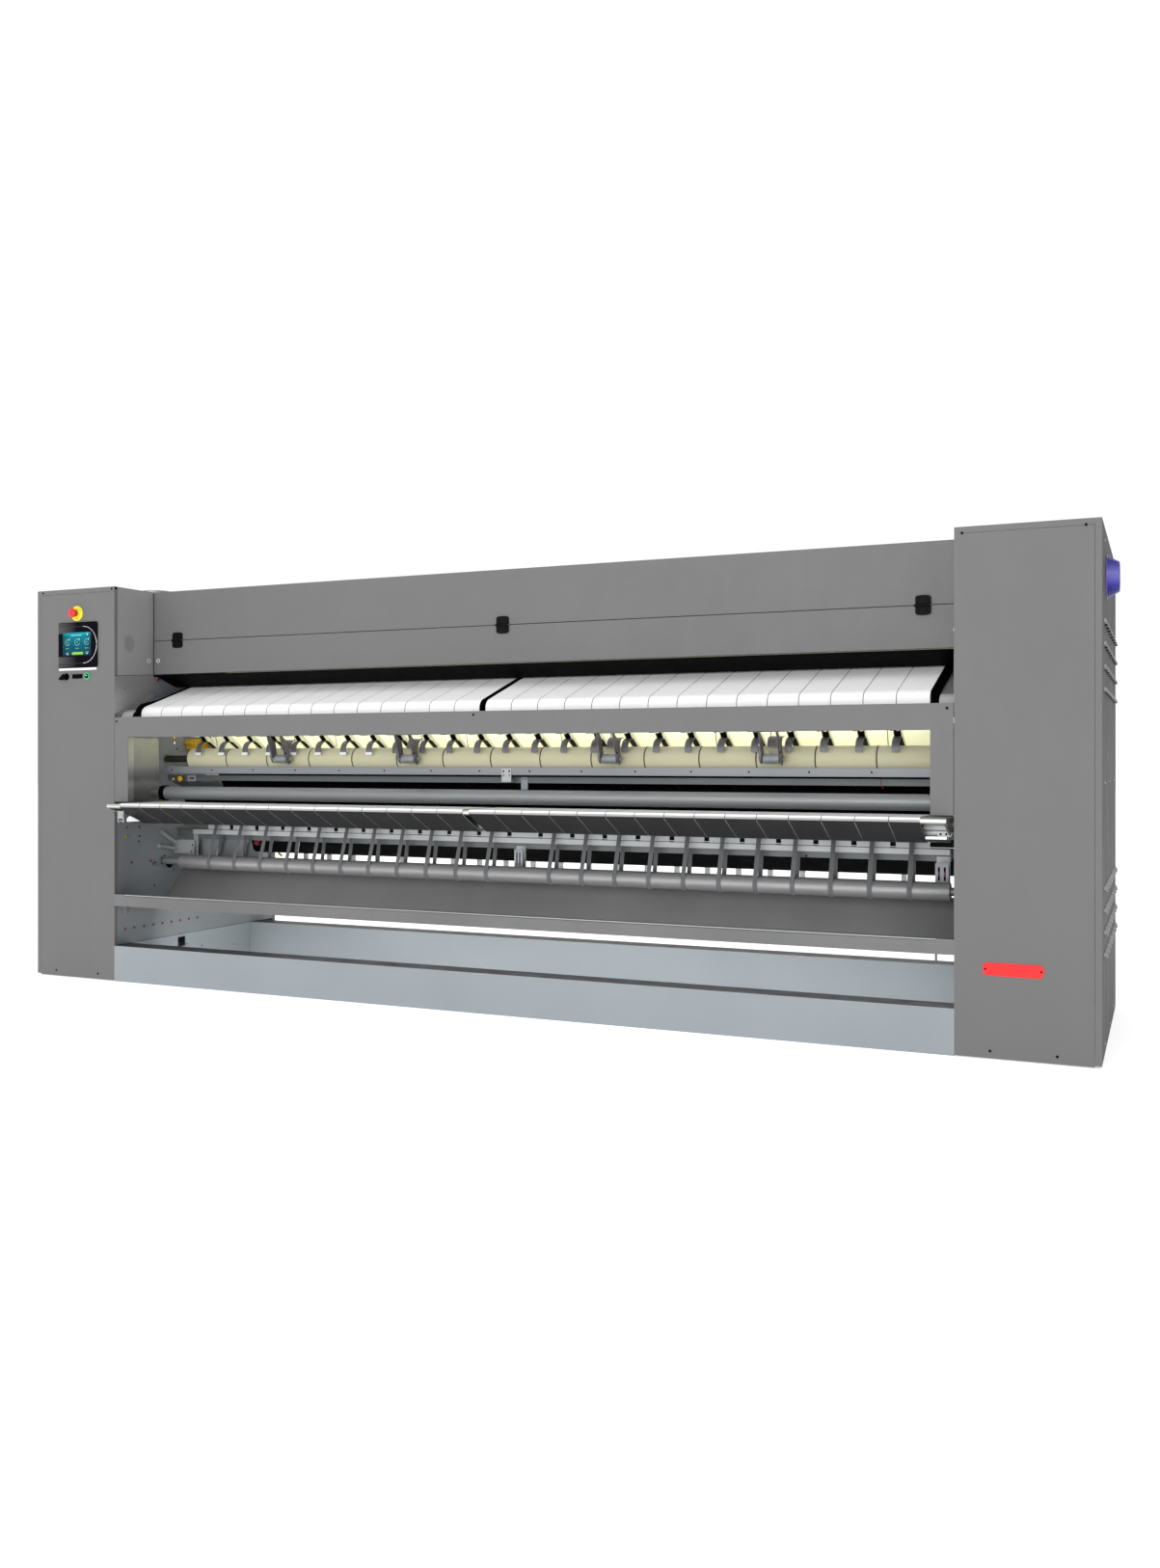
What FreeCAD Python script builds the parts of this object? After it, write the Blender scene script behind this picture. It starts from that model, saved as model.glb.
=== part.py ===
import FreeCAD, Part
import math
import os
import Sketcher

# Flatwork ironer with return belts, delivery table and folding section.
# Machine coordinates used in the numbers below, in millimetres:
#   X = 0 at mid width, Y = 0 at the front plane of the two columns (operator side, looking
#   along +Y), Z = 0 on the floor.  Every sub-part is then placed with the same shift
#   (-frame_x, -frame_y, 0), so the origin is the middle of the whole object's footprint.

V = FreeCAD.Vector
ROT0 = FreeCAD.Rotation()

doc = FreeCAD.newDocument("flatwork_ironer")
sheet = doc.addObject("Spreadsheet::Sheet", "Sizes")

# alias, value, note
SIZES = [
    ("half_width", 2200, "half of the overall width"),
    ("body_depth", 1115, "depth of the columns"),
    ("body_height", 1700, "height of the columns"),
    ("frame_x", 18.9, "machine X of the origin"),
    ("frame_y", 529.5, "machine Y of the origin"),
    ("sheet_thk", 2, "cover sheet thickness"),
    ("lip_deep", 18, "folded lip of the covers"),
    ("inner_x", 1757, "inner faces of the two columns"),
    ("corner_strip", 20, "side cover's return on the front face"),
    ("cover_gap", 1, "joint between covers"),
    ("floor_gap", 3, "covers end above the floor"),
    ("plate_thk", 10, "structural side plate"),
    ("plate_x", 1759, "inner face of the side plate"),
    ("plate_y_front", 6, "side plate front edge"),
    ("plate_y_back", 1105, "side plate rear edge"),
    ("plate_z_low", 153, "side plate lower edge"),
    ("plate_z_top", 1688, "side plate upper edge"),
    ("beam_high", 152, "base beam height"),
    ("beam_deep", 100, "base beam depth"),
    ("beam_wall", 4, "base beam wall"),
    ("rear_beam_y", 921, "rear base beam front face"),
    ("hood_y", 239, "hood front face"),
    ("seam_z", 1482, "hood seam, upper edge of the flap"),
    ("flap_low_z", 1334, "lower edge of the flap"),
    ("back_low_z", 620, "lower edge of the back panel"),
    ("window_top_z", 1050, "lower edge of the front beam"),
    ("front_top_z", 1136, "upper edge of the front beam"),
    ("front_deep", 34, "depth of the front beam"),
    ("post_wide", 75, "width of the front posts"),
    ("post_low_z", 773, "lower end of the front posts"),
    ("feed_tan", 0.33459, "feed table slope"),
    ("feed_cos", 0.94832, "cosine of the feed slope"),
    ("feed_sin", 0.31730, "sine of the feed slope"),
    ("feed_nose_y", 117, "feed nose roller axis"),
    ("feed_nose_z", 1147, "feed nose roller axis"),
    ("feed_long", 330, "between the feed roller axes"),
    ("feed_roll_rad", 36, "feed roller radius"),
    ("feed_belt_thk", 3, "feed belt thickness"),
    ("belt_seam", 2.4, "gap between neighbouring belts"),
    ("belt_left", -1679, "left edge of the belt field"),
    ("belt_right", 1668, "right edge of the belt field"),
    ("belt_mid_a", -17, "left side of the middle gap"),
    ("belt_mid_b", 10, "right side of the middle gap"),
    ("belt_count", 15, "belts in each half"),
    ("cyl_y", 730, "ironing cylinder axis"),
    ("cyl_z", 1110, "ironing cylinder axis"),
    ("cyl_rad", 250, "ironing cylinder radius"),
    ("cyl_wall", 9, "ironing cylinder wall"),
    ("cyl_left", -1640, "ironing cylinder left end"),
    ("cyl_long", 3340, "ironing cylinder length"),
    ("journal_rad", 45, "cylinder journal radius"),
    ("iron_belt_thk", 3.5, "ironing belt thickness"),
    ("iron_belt_left", -1612, "left edge of the ironing belts"),
    ("iron_pitch", 218.8, "ironing belt pitch"),
    ("iron_count", 15, "ironing belts"),
    ("exit_y", 335, "exit roller axis"),
    ("exit_z", 957, "exit roller axis"),
    ("exit_rad", 42, "exit roller radius"),
    ("idle_rad", 36, "return roller radius"),
    ("nip_y", 516.4, "nip roller axis"),
    ("nip_z", 1309.1, "nip roller axis"),
    ("rear_y", 1035, "rear return rollers"),
    ("rear_low_z", 747, "lower rear roller"),
    ("rear_high_z", 1395, "upper rear roller"),
    ("shaft_rad", 15, "roller shaft radius"),
    ("shaft_out", 1785, "roller shaft ends"),
    ("run_gap", 0.05, "radial running clearance"),
    ("bear_rad", 28, "bearing outside radius"),
    ("bear_wide", 22, "bearing width"),
    ("tube_y", 230, "delivery roller axis"),
    ("tube_z", 806, "delivery roller axis"),
    ("tube_rad", 29, "delivery roller radius"),
    ("fold_y", 312, "fold roller axis"),
    ("fold_z", 497, "fold roller axis"),
    ("fold_rad", 32, "fold roller radius"),
    ("tape_pitch", 138.6, "folding tape pitch"),
    ("tape_wide", 17, "folding tape width"),
    ("tape_first", -1484, "first folding tape"),
    ("table_piv_y", 175, "delivery table pivot and idler axis"),
    ("table_piv_z", 738, "delivery table pivot and idler axis"),
    ("table_idle_rad", 27, "delivery table idler radius"),
    ("table_drv_y", 95, "delivery table drive roller axis"),
    ("table_drv_z", 712, "delivery table drive roller axis"),
    ("table_drv_rad", 31.7, "delivery table drive roller radius"),
    ("table_belt_thk", 2.5, "delivery belt thickness"),
    ("table_left", -1750, "delivery table left end"),
    ("table_long", 3490, "delivery table length"),
    ("finger_count", 25, "stripper fingers"),
    ("finger_pitch", 127.4, "stripper finger pitch"),
    ("finger_first", -1539, "first stripper finger"),
    ("finger_wide", 27, "stripper finger width"),
    ("strip_y", 252, "stripper shaft axis"),
    ("strip_z", 1068, "stripper shaft axis"),
    ("strip_rad", 10, "stripper shaft radius"),
    ("guard_y", 245, "finger guard pivot"),
    ("guard_z", 1328, "finger guard pivot"),
    ("guard_pin", 4, "finger guard pivot pin radius"),
    ("roof_x", -1979, "roof collar axis"),
    ("roof_y", 506, "roof collar axis"),
    ("roof_rad", 70.5, "roof collar outside radius"),
    ("roof_bore", 68, "roof collar bore radius"),
    ("roof_high", 46, "roof collar height"),
    ("guide_axis_y", 262, "belt guide roller axis"),
    ("guide_axis_z", 957, "belt guide roller axis"),
    ("guide_rad", 18, "belt guide roller radius"),
    ("tape_wheel_y", 367, "tape wheel axis"),
    ("tape_wheel_z", 705, "tape wheel axis"),
    ("tape_wheel_rad", 15.6, "tape wheel radius"),
    ("tray_lip_z", 374, "top of the tray lip"),
    ("tray_low_z", 324, "bottom of the tray lip"),
    ("tray_thk", 3, "tray sheet"),
    ("tray_back_y", 448, "rear edge of the tray"),
    ("tray_back_z", 462, "rear edge of the tray"),
    ("hmi_x", -1961, "control panel middle"),
    ("hmi_z", 1454, "control panel middle"),
    ("hmi_wide", 222, "control panel width"),
    ("hmi_high", 198, "control panel height"),
    ("estop_x", -1967.5, "emergency stop"),
    ("estop_z", 1592, "emergency stop"),
    ("estop_ring", 33, "emergency stop ring radius"),
    ("estop_head", 20, "emergency stop head radius"),
    ("button_x", -1910, "start button"),
    ("button_z", 1317, "start button"),
    ("button_rad", 9, "start button radius"),
    ("select_x", -2030, "selector"),
    ("usb_x", -1971, "data socket"),
    ("outlet_y", 330, "exhaust outlet axis"),
    ("outlet_z", 1556, "exhaust outlet axis"),
    ("outlet_big", 67, "exhaust cone, wide end"),
    ("outlet_small", 49, "exhaust cone, narrow end"),
    ("outlet_long", 37, "exhaust outlet length"),
    ("louvre_first", 180, "first louvre"),
    ("louvre_pitch", 117, "louvre pitch"),
    ("louvre_count", 8, "louvres in a row"),
    ("louvre_wide", 84, "louvre width"),
]
VAL = {}
for row, (alias, value, note) in enumerate(SIZES, start=1):
    sheet.set("A%d" % row, note)
    sheet.set("B%d" % row, repr(value))
    sheet.setAlias("B%d" % row, alias)
    VAL[alias] = float(value)
doc.recompute()
for alias in VAL:
    VAL[alias] = float(getattr(sheet, alias))


class Q:
    """A size that knows both its value and its spreadsheet expression."""

    def __init__(self, value, text):
        self.v = float(value)
        self.t = text

    @staticmethod
    def of(x):
        if isinstance(x, Q):
            return x
        return Q(x, repr(float(x)) if float(x) >= 0 else "(0 - %r)" % abs(float(x)))

    def __add__(self, o):
        o = Q.of(o)
        return Q(self.v + o.v, "(%s + %s)" % (self.t, o.t))

    __radd__ = __add__

    def __sub__(self, o):
        o = Q.of(o)
        return Q(self.v - o.v, "(%s - %s)" % (self.t, o.t))

    def __rsub__(self, o):
        o = Q.of(o)
        return Q(o.v - self.v, "(%s - %s)" % (o.t, self.t))

    def __mul__(self, o):
        o = Q.of(o)
        return Q(self.v * o.v, "(%s * %s)" % (self.t, o.t))

    __rmul__ = __mul__

    def __truediv__(self, o):
        o = Q.of(o)
        return Q(self.v / o.v, "(%s / %s)" % (self.t, o.t))

    def __neg__(self):
        return Q(-self.v, "(0 - %s)" % self.t)


class Sheet:
    def __getattr__(self, name):
        return Q(VAL[name], "Sizes." + name)


S = Sheet()
OX, OY = -S.frame_x, -S.frame_y
SHIFT = V(OX.v, OY.v, 0)
PARTS = []          # (label, object) in the order they are written


def keep(obj, label):
    obj.Label = label
    PARTS.append((label, obj))
    return obj


def bind(obj, prop, q):
    obj.setExpression(prop, Q.of(q).t)


def place(obj, x=0, y=0, z=0, rot=None):
    """Machine position of the object's own origin, plus the common shift."""
    x, y, z = Q.of(x) + OX, Q.of(y) + OY, Q.of(z)
    obj.Placement = FreeCAD.Placement(V(x.v, y.v, z.v), rot or ROT0)
    obj.setExpression("Placement.Base.x", x.t)
    obj.setExpression("Placement.Base.y", y.t)
    obj.setExpression("Placement.Base.z", z.t)


def origin_part(body, role):
    for feature in body.Origin.OriginFeatures:
        if feature.Role == role:
            return feature
    raise RuntimeError("no " + role)


def new_body(name):
    return doc.addObject("PartDesign::Body", name)


def sketch(body, plane, name, offset=None):
    sk = body.newObject("Sketcher::SketchObject", name)
    sk.AttachmentSupport = [(origin_part(body, plane), "")]
    sk.MapMode = "FlatFace"
    if offset is not None:
        q = Q.of(offset)
        sk.AttachmentOffset = FreeCAD.Placement(V(0, 0, q.v), ROT0)
        sk.setExpression("AttachmentOffset.Base.z", q.t)
    return sk


def bound(sk, index, q):
    sk.setExpression("Constraints[%d]" % index, Q.of(q).t)


def add_poly(sk, points):
    """Closed outline whose every corner is dimensioned from the sketch's origin."""
    points = [(Q.of(a), Q.of(b)) for a, b in points]
    first = sk.GeometryCount
    n = len(points)
    sk.addGeometry([Part.LineSegment(V(points[i][0].v, points[i][1].v, 0),
                                     V(points[(i + 1) % n][0].v, points[(i + 1) % n][1].v, 0))
                    for i in range(n)], False)
    rules = [Sketcher.Constraint("Coincident", first + i, 2, first + (i + 1) % n, 1) for i in range(n)]
    for i, (a, b) in enumerate(points):
        rules.append(Sketcher.Constraint("DistanceX", -1, 1, first + i, 1, a.v))
        rules.append(Sketcher.Constraint("DistanceY", -1, 1, first + i, 1, b.v))
    start = sk.ConstraintCount
    sk.addConstraint(rules)
    for i, (a, b) in enumerate(points):
        bound(sk, start + n + 2 * i, a)
        bound(sk, start + n + 2 * i + 1, b)


def add_rect(sk, a0, b0, a1, b1):
    add_poly(sk, [(a0, b0), (a1, b0), (a1, b1), (a0, b1)])


def add_circle(sk, a, b, r):
    a, b, r = Q.of(a), Q.of(b), Q.of(r)
    g = sk.addGeometry(Part.Circle(V(a.v, b.v, 0), V(0, 0, 1), r.v), False)
    start = sk.ConstraintCount
    sk.addConstraint([Sketcher.Constraint("DistanceX", -1, 1, g, 3, a.v),
                      Sketcher.Constraint("DistanceY", -1, 1, g, 3, b.v),
                      Sketcher.Constraint("Radius", g, r.v)])
    bound(sk, start, a)
    bound(sk, start + 1, b)
    bound(sk, start + 2, r)


def pad(body, sk, length, name, reverse=False, midplane=False):
    feature = body.newObject("PartDesign::Pad", name)
    feature.Profile = sk
    feature.Length = Q.of(length).v
    bind(feature, "Length", length)
    feature.Reversed = reverse
    if midplane:
        feature.SideType = "Symmetric"
    return feature


def pocket(body, sk, length, name, reverse=False):
    """Cut, with a check that the cut really took something away."""
    doc.recompute()
    before = body.Shape.Volume
    feature = body.newObject("PartDesign::Pocket", name)
    feature.Profile = sk
    feature.Length = Q.of(length).v
    bind(feature, "Length", length)
    feature.Reversed = reverse
    doc.recompute()
    if body.Shape.Volume > before - 1.0:
        feature.Reversed = not reverse
        doc.recompute()
    if body.Shape.Volume > before - 1.0:
        raise RuntimeError("%s cuts nothing" % name)
    return feature


def through(body, sk, name):
    """Cut through everything on whichever side of the sketch the sheet lies."""
    doc.recompute()
    before = body.Shape.Volume
    feature = body.newObject("PartDesign::Pocket", name)
    feature.Profile = sk
    feature.Type = "ThroughAll"
    doc.recompute()
    if body.Shape.Volume > before - 1.0:
        feature.Reversed = True
        doc.recompute()
    if body.Shape.Volume > before - 1.0:
        raise RuntimeError("%s cuts nothing" % name)
    return feature


def pattern(body, original, pitch, count, name, role="X_Axis"):
    feature = body.newObject("PartDesign::LinearPattern", name)
    feature.Originals = [original]
    feature.Direction = (origin_part(body, role), [""])
    pitch, count = Q.of(pitch), Q.of(count)
    length = pitch * (count - 1)
    feature.Length = length.v
    feature.Occurrences = int(round(count.v))
    bind(feature, "Length", length)
    bind(feature, "Occurrences", count)
    body.Tip = feature
    return feature


def bar(label, outlines, x0, length, holes=()):
    """A section in the YZ plane run along X from x0."""
    body = new_body(label + "_body")
    sk = sketch(body, "YZ_Plane", label + "_section")
    for outline in outlines:
        add_poly(sk, outline)
    pad(body, sk, length, label + "_run")
    place(body, x0)
    return keep(body, label)


def rect(a0, b0, a1, b1):
    return [(a0, b0), (a1, b0), (a1, b1), (a0, b1)]


def box(name, x0, y0, z0, x1, y1, z1):
    """Plain block between two machine corners."""
    b = doc.addObject("Part::Box", name)
    x0, y0, z0, x1, y1, z1 = [Q.of(q) for q in (x0, y0, z0, x1, y1, z1)]
    for prop, q in (("Length", x1 - x0), ("Width", y1 - y0), ("Height", z1 - z0)):
        setattr(b, prop, q.v)
        bind(b, prop, q)
    place(b, x0, y0, z0)
    return b


ALONG = {
    "X": FreeCAD.Rotation(V(0, 1, 0), 90),
    "Y": FreeCAD.Rotation(V(1, 0, 0), -90),
    "Z": ROT0,
}


def cyl(name, axis, x, y, z, radius, height):
    """Cylinder that starts at a machine point and runs along +axis."""
    c = doc.addObject("Part::Cylinder", name)
    c.Radius, c.Height = Q.of(radius).v, Q.of(height).v
    bind(c, "Radius", radius)
    bind(c, "Height", height)
    place(c, x, y, z, ALONG[axis])
    return c


def cone(name, axis, x, y, z, r1, r2, height):
    c = doc.addObject("Part::Cone", name)
    c.Radius1, c.Radius2, c.Height = Q.of(r1).v, Q.of(r2).v, Q.of(height).v
    bind(c, "Radius1", r1)
    bind(c, "Radius2", r2)
    bind(c, "Height", height)
    place(c, x, y, z, ALONG[axis])
    return c


def cut(name, base, tools):
    if isinstance(tools, (list, tuple)):
        if len(tools) > 1:
            tool = doc.addObject("Part::MultiFuse", name + "_tools")
            tool.Shapes = list(tools)
        else:
            tool = tools[0]
    else:
        tool = tools
    c = doc.addObject("Part::Cut", name)
    c.Base, c.Tool = base, tool
    return c


def fuse(name, shapes):
    f = doc.addObject("Part::MultiFuse", name)
    f.Shapes = list(shapes)
    return f


def group(name, members):
    g = doc.addObject("Part::Compound", name)
    g.Links = list(members)
    return g


def feature(label, shape):
    """Sub-part whose shape is worked out in code from the sheet's sizes."""
    f = doc.addObject("Part::Feature", label + "_shape")
    f.Shape = shape
    f.Placement = FreeCAD.Placement(SHIFT, ROT0)
    return keep(f, label)


def roller(label, left, right, y, z, radius, wall, shaft=None, out_l=None, out_r=None):
    """Welded roller: tube, end discs and stub shafts, turned about X; hollow inside."""
    left, right, radius, wall = [Q.of(q) for q in (left, right, radius, wall)]
    shaft = Q.of(shaft if shaft is not None else S.shaft_rad)
    out_l = Q.of(out_l if out_l is not None else -S.shaft_out)
    out_r = Q.of(out_r if out_r is not None else S.shaft_out)
    disc = 12
    a, b = out_l - left, out_r - left
    run = right - left
    body = new_body(label + "_body")
    sk = sketch(body, "XZ_Plane", label + "_half_section")
    add_poly(sk, [
        (a, 0), (a, shaft), (0, shaft), (0, radius), (run, radius), (run, shaft), (b, shaft), (b, 0),
        (run - disc, 0), (run - disc, radius - wall), (disc, radius - wall), (disc, 0)])
    rev = body.newObject("PartDesign::Revolution", label + "_turned")
    rev.Profile = sk
    rev.ReferenceAxis = (sk, ["H_Axis"])
    rev.Angle = 360
    place(body, left, y, z)
    return keep(body, label)


# ----------------------------------------------------------------------------------------
# Loops: closed flat belts led round circles in the YZ plane.
# A circle is (y, z, r, side): side -1 lies inside the loop, +1 presses on it from outside.

def loop_wire(circles):
    pts = []
    n = len(circles)
    tangents = []
    for i in range(n):
        y1, z1, r1, s1 = circles[i]
        y2, z2, r2, s2 = circles[(i + 1) % n]
        k = s2 * r2 - s1 * r1
        dy, dz = y2 - y1, z2 - z1
        dist = math.hypot(dy, dz)
        ey, ez = dy / dist, dz / dist
        c = k / dist
        q = math.sqrt(1 - c * c)
        ny, nz = c * ey - q * ez, c * ez + q * ey       # left normal of the tangent run
        tangents.append(((y1 - ny * s1 * r1, z1 - nz * s1 * r1), (y2 - ny * s2 * r2, z2 - nz * s2 * r2)))
    edges = []
    for i in range(n):
        y, z, r, s = circles[i]
        arrive = tangents[i - 1][1]
        leave = tangents[i][0]
        a0 = math.atan2(arrive[1] - z, arrive[0] - y)
        a1 = math.atan2(leave[1] - z, leave[0] - y)
        if s > 0:
            while a1 < a0 - 1e-9:
                a1 += 2 * math.pi
        else:
            while a1 > a0 + 1e-9:
                a1 -= 2 * math.pi
        am = (a0 + a1) / 2
        if abs(a1 - a0) > 1e-6:
            edges.append(Part.Arc(V(0, arrive[0], arrive[1]),
                                  V(0, y + r * math.cos(am), z + r * math.sin(am)),
                                  V(0, leave[0], leave[1])).toShape())
        edges.append(Part.LineSegment(V(0, leave[0], leave[1]),
                                      V(0, tangents[i][1][0], tangents[i][1][1])).toShape())
    return Part.Wire(edges)


def belt_solid(circles, thickness, x0, width):
    """Belt between its inner side (on the circles) and its outer side."""
    outer = [(y, z, r + thickness if s < 0 else r - thickness, s) for y, z, r, s in circles]
    face = Part.Face([loop_wire(outer), loop_wire(circles)])
    face.validate()
    solid = face.extrude(V(width, 0, 0))
    solid.translate(V(x0, 0, 0))
    return solid


def section_solid(wire, x0, width):
    solid = Part.Face(wire).extrude(V(width, 0, 0))
    solid.translate(V(x0, 0, 0))
    return solid


def belt_edges():
    """Left edges and widths of the thirty belts, fifteen each side of the middle gap."""
    n = int(VAL["belt_count"])
    out = []
    for a, b in ((VAL["belt_left"], VAL["belt_mid_a"]), (VAL["belt_mid_b"], VAL["belt_right"])):
        pitch = (b - a + VAL["belt_seam"]) / n
        for i in range(n):
            out.append((a + i * pitch, pitch - VAL["belt_seam"]))
    return out


# ======================================================================================
# Base: two long tubes across the machine and two short ones under the columns.

def tube_section(sk, a0, b0, a1, b1, wall):
    add_rect(sk, a0, b0, a1, b1)
    add_rect(sk, Q.of(a0) + wall, Q.of(b0) + wall, Q.of(a1) - wall, Q.of(b1) - wall)


long_body = new_body("base_long_body")
sk = sketch(long_body, "YZ_Plane", "base_long_section")
tube_section(sk, 0, 0, S.beam_deep, S.beam_high, S.beam_wall)
tube_section(sk, S.rear_beam_y, 0, S.rear_beam_y + S.beam_deep, S.beam_high, S.beam_wall)
pad(long_body, sk, S.inner_x * 2, "base_long_run")
place(long_body, -S.inner_x)
side_body = new_body("base_side_body")
sk = sketch(side_body, "XZ_Plane", "base_side_section")
for sgn in (-1, 1):
    a, b = (-S.inner_x - S.beam_deep, -S.inner_x) if sgn < 0 else (S.inner_x, S.inner_x + S.beam_deep)
    tube_section(sk, a, 0, b, S.beam_high, S.beam_wall)
pad(side_body, sk, S.rear_beam_y + S.beam_deep - 19, "base_side_run", reverse=True)
# cable passage through the inner wall of each side tube
sk = sketch(side_body, "YZ_Plane", "base_side_notch")
add_rect(sk, 398 - 19, 95, 450 - 19, 140)
feature_notch = side_body.newObject("PartDesign::Pocket", "base_side_notch_cut")
feature_notch.Profile = sk
feature_notch.SideType = "Symmetric"
feature_notch.Length = 2 * (VAL["inner_x"] + VAL["beam_wall"] + 2)
bind(feature_notch, "Length", (S.inner_x + S.beam_wall + 2) * 2)
place(side_body, 0, 19)
doc.recompute()
keep(group("base_beams_group", [long_body, side_body]), "base_beams")

# --------------------------------------------------------------------------------------
# Structural side plates with their bearing seats.

SEATS = [  # (y, z, seat radius, shaft radius): every shaft that runs in the side plates
    (S.exit_y, S.exit_z, S.bear_rad, S.shaft_rad),
    (S.nip_y, S.nip_z, S.bear_rad, S.shaft_rad),
    (S.rear_y, S.rear_low_z, S.bear_rad, S.shaft_rad),
    (S.rear_y, S.rear_high_z, S.bear_rad, S.shaft_rad),
    (S.feed_nose_y + S.feed_long * S.feed_cos, S.feed_nose_z + S.feed_long * S.feed_sin, S.bear_rad, S.shaft_rad),
    (S.tube_y, S.tube_z, S.bear_rad, S.shaft_rad),
    (S.table_piv_y, S.table_piv_z, S.bear_rad, S.shaft_rad),
    (S.fold_y, S.fold_z, S.bear_rad, S.shaft_rad),
    (S.strip_y, S.strip_z, S.bear_rad, S.strip_rad),
    (S.cyl_y, S.cyl_z, S.bear_rad + 52, S.journal_rad),
]
plates = []
for tag, x0 in (("left", -S.plate_x - S.plate_thk), ("right", S.plate_x)):
    b = new_body("side_plate_%s_body" % tag)
    sk = sketch(b, "YZ_Plane", "side_plate_%s_outline" % tag)
    add_poly(sk, [(S.plate_y_front, S.plate_z_low), (S.plate_y_back, S.plate_z_low),
                  (S.plate_y_back, S.plate_z_top), (S.plate_y_front, S.plate_z_top)])
    for y, z, seat, _shaft in SEATS:
        add_circle(sk, y, z, seat)
    add_circle(sk, S.guard_y, S.guard_z, S.guard_pin + S.run_gap)
    pad(b, sk, S.plate_thk, "side_plate_%s_thickness" % tag)
    place(b, x0)
    plates.append(b)
keep(group("side_plates_group", plates), "side_plates")

# Bearings: one ring at each shaft end, seated in the side plates.
bearing_bodies = []
for tag, x0 in (("left", -S.plate_x - S.bear_wide), ("right", S.plate_x)):
    b = new_body("bearings_%s_body" % tag)
    sk = sketch(b, "YZ_Plane", "bearings_%s_rings" % tag)
    for y, z, seat, shaft in SEATS:
        add_circle(sk, y, z, seat)
        add_circle(sk, y, z, shaft + S.run_gap)
    pad(b, sk, S.bear_wide, "bearings_%s_width" % tag)
    place(b, x0)
    bearing_bodies.append(b)
keep(group("bearings_group", bearing_bodies), "bearings")

# --------------------------------------------------------------------------------------
# Columns: front, side, top and back covers, each a folded sheet.

def upright_cover(label, outline, z0, z1):
    """Section in the XY plane run upwards."""
    body = new_body(label + "_body")
    sk = sketch(body, "XY_Plane", label + "_section")
    add_poly(sk, outline)
    pad(body, sk, Q.of(z1) - Q.of(z0), label + "_rise")
    place(body, 0, 0, z0)
    return body


t = S.sheet_thk
fl, fr = -S.half_width + S.corner_strip + S.cover_gap, -S.inner_x
TOP_LIP = 20
front_left = upright_cover("column_front_left", [
    (fl, 0), (fr, 0), (fr, S.lip_deep), (fr - t, S.lip_deep), (fr - t, t), (fl + t, t),
    (fl + t, S.lip_deep), (fl, S.lip_deep)], S.floor_gap, S.body_height - TOP_LIP - S.cover_gap)
# openings for the control panel, emergency stop, selector, socket and button
sk = sketch(front_left, "XZ_Plane", "control_openings")
zz = S.floor_gap
add_rect(sk, S.hmi_x - S.hmi_wide / 2 + 15, S.hmi_z - S.hmi_high / 2 + 15 - zz,
         S.hmi_x + S.hmi_wide / 2 - 15, S.hmi_z + S.hmi_high / 2 - 15 - zz)
add_circle(sk, S.estop_x, S.estop_z - zz, 11.5)
add_circle(sk, S.select_x, S.button_z - zz, 8.5)
add_circle(sk, S.button_x, S.button_z - zz, 11.5)
add_rect(sk, S.usb_x - 22, S.button_z - 7 - zz, S.usb_x + 22, S.button_z + 7 - zz)
pocket(front_left, sk, 5, "control_openings_cut", reverse=True)
keep(front_left, "column_front_left")

gl, gr = S.inner_x, S.half_width - S.corner_strip - S.cover_gap
front_right = upright_cover("column_front_right", [
    (gl, 0), (gr, 0), (gr, S.lip_deep), (gr - t, S.lip_deep), (gr - t, t), (gl + t, t),
    (gl + t, S.lip_deep), (gl, S.lip_deep)], S.floor_gap, S.body_height - TOP_LIP - S.cover_gap)
keep(front_right, "column_front_right")

LOUVRE_Z = (1388, 1316, 1243, 1171, 537, 467, 397, 326)
for sgn, tag in ((-1, "left"), (1, "right")):
    o = S.half_width * sgn
    i = (S.half_width - t) * sgn
    r = (S.half_width - S.corner_strip) * sgn
    d = S.body_depth
    outline = [(r, 0), (o, 0), (o, d), (r, d), (r, d - t), (i, d - t), (i, t), (r, t)]
    body = upright_cover("column_side_" + tag, outline, S.floor_gap + 4, S.body_height - S.sheet_thk)
    if tag == "right":
        sk = sketch(body, "YZ_Plane", "outlet_hole")
        add_circle(sk, S.outlet_y, S.outlet_z - (S.floor_gap + 4), S.outlet_big - 3)
        through(body, sk, "outlet_hole_cut")
    sk = sketch(body, "YZ_Plane", "column_side_%s_slots" % tag)
    for z in LOUVRE_Z:
        y0 = S.louvre_first - S.louvre_wide / 2
        add_rect(sk, y0, z - 4 - (S.floor_gap + 4), y0 + S.louvre_wide, z + 4 - (S.floor_gap + 4))
    column = through(body, sk, "column_side_%s_slots_cut" % tag)
    pattern(body, column, S.louvre_pitch, S.louvre_count, "column_side_%s_slot_rows" % tag, "Y_Axis")
    keep(body, "column_side_" + tag)

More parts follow.
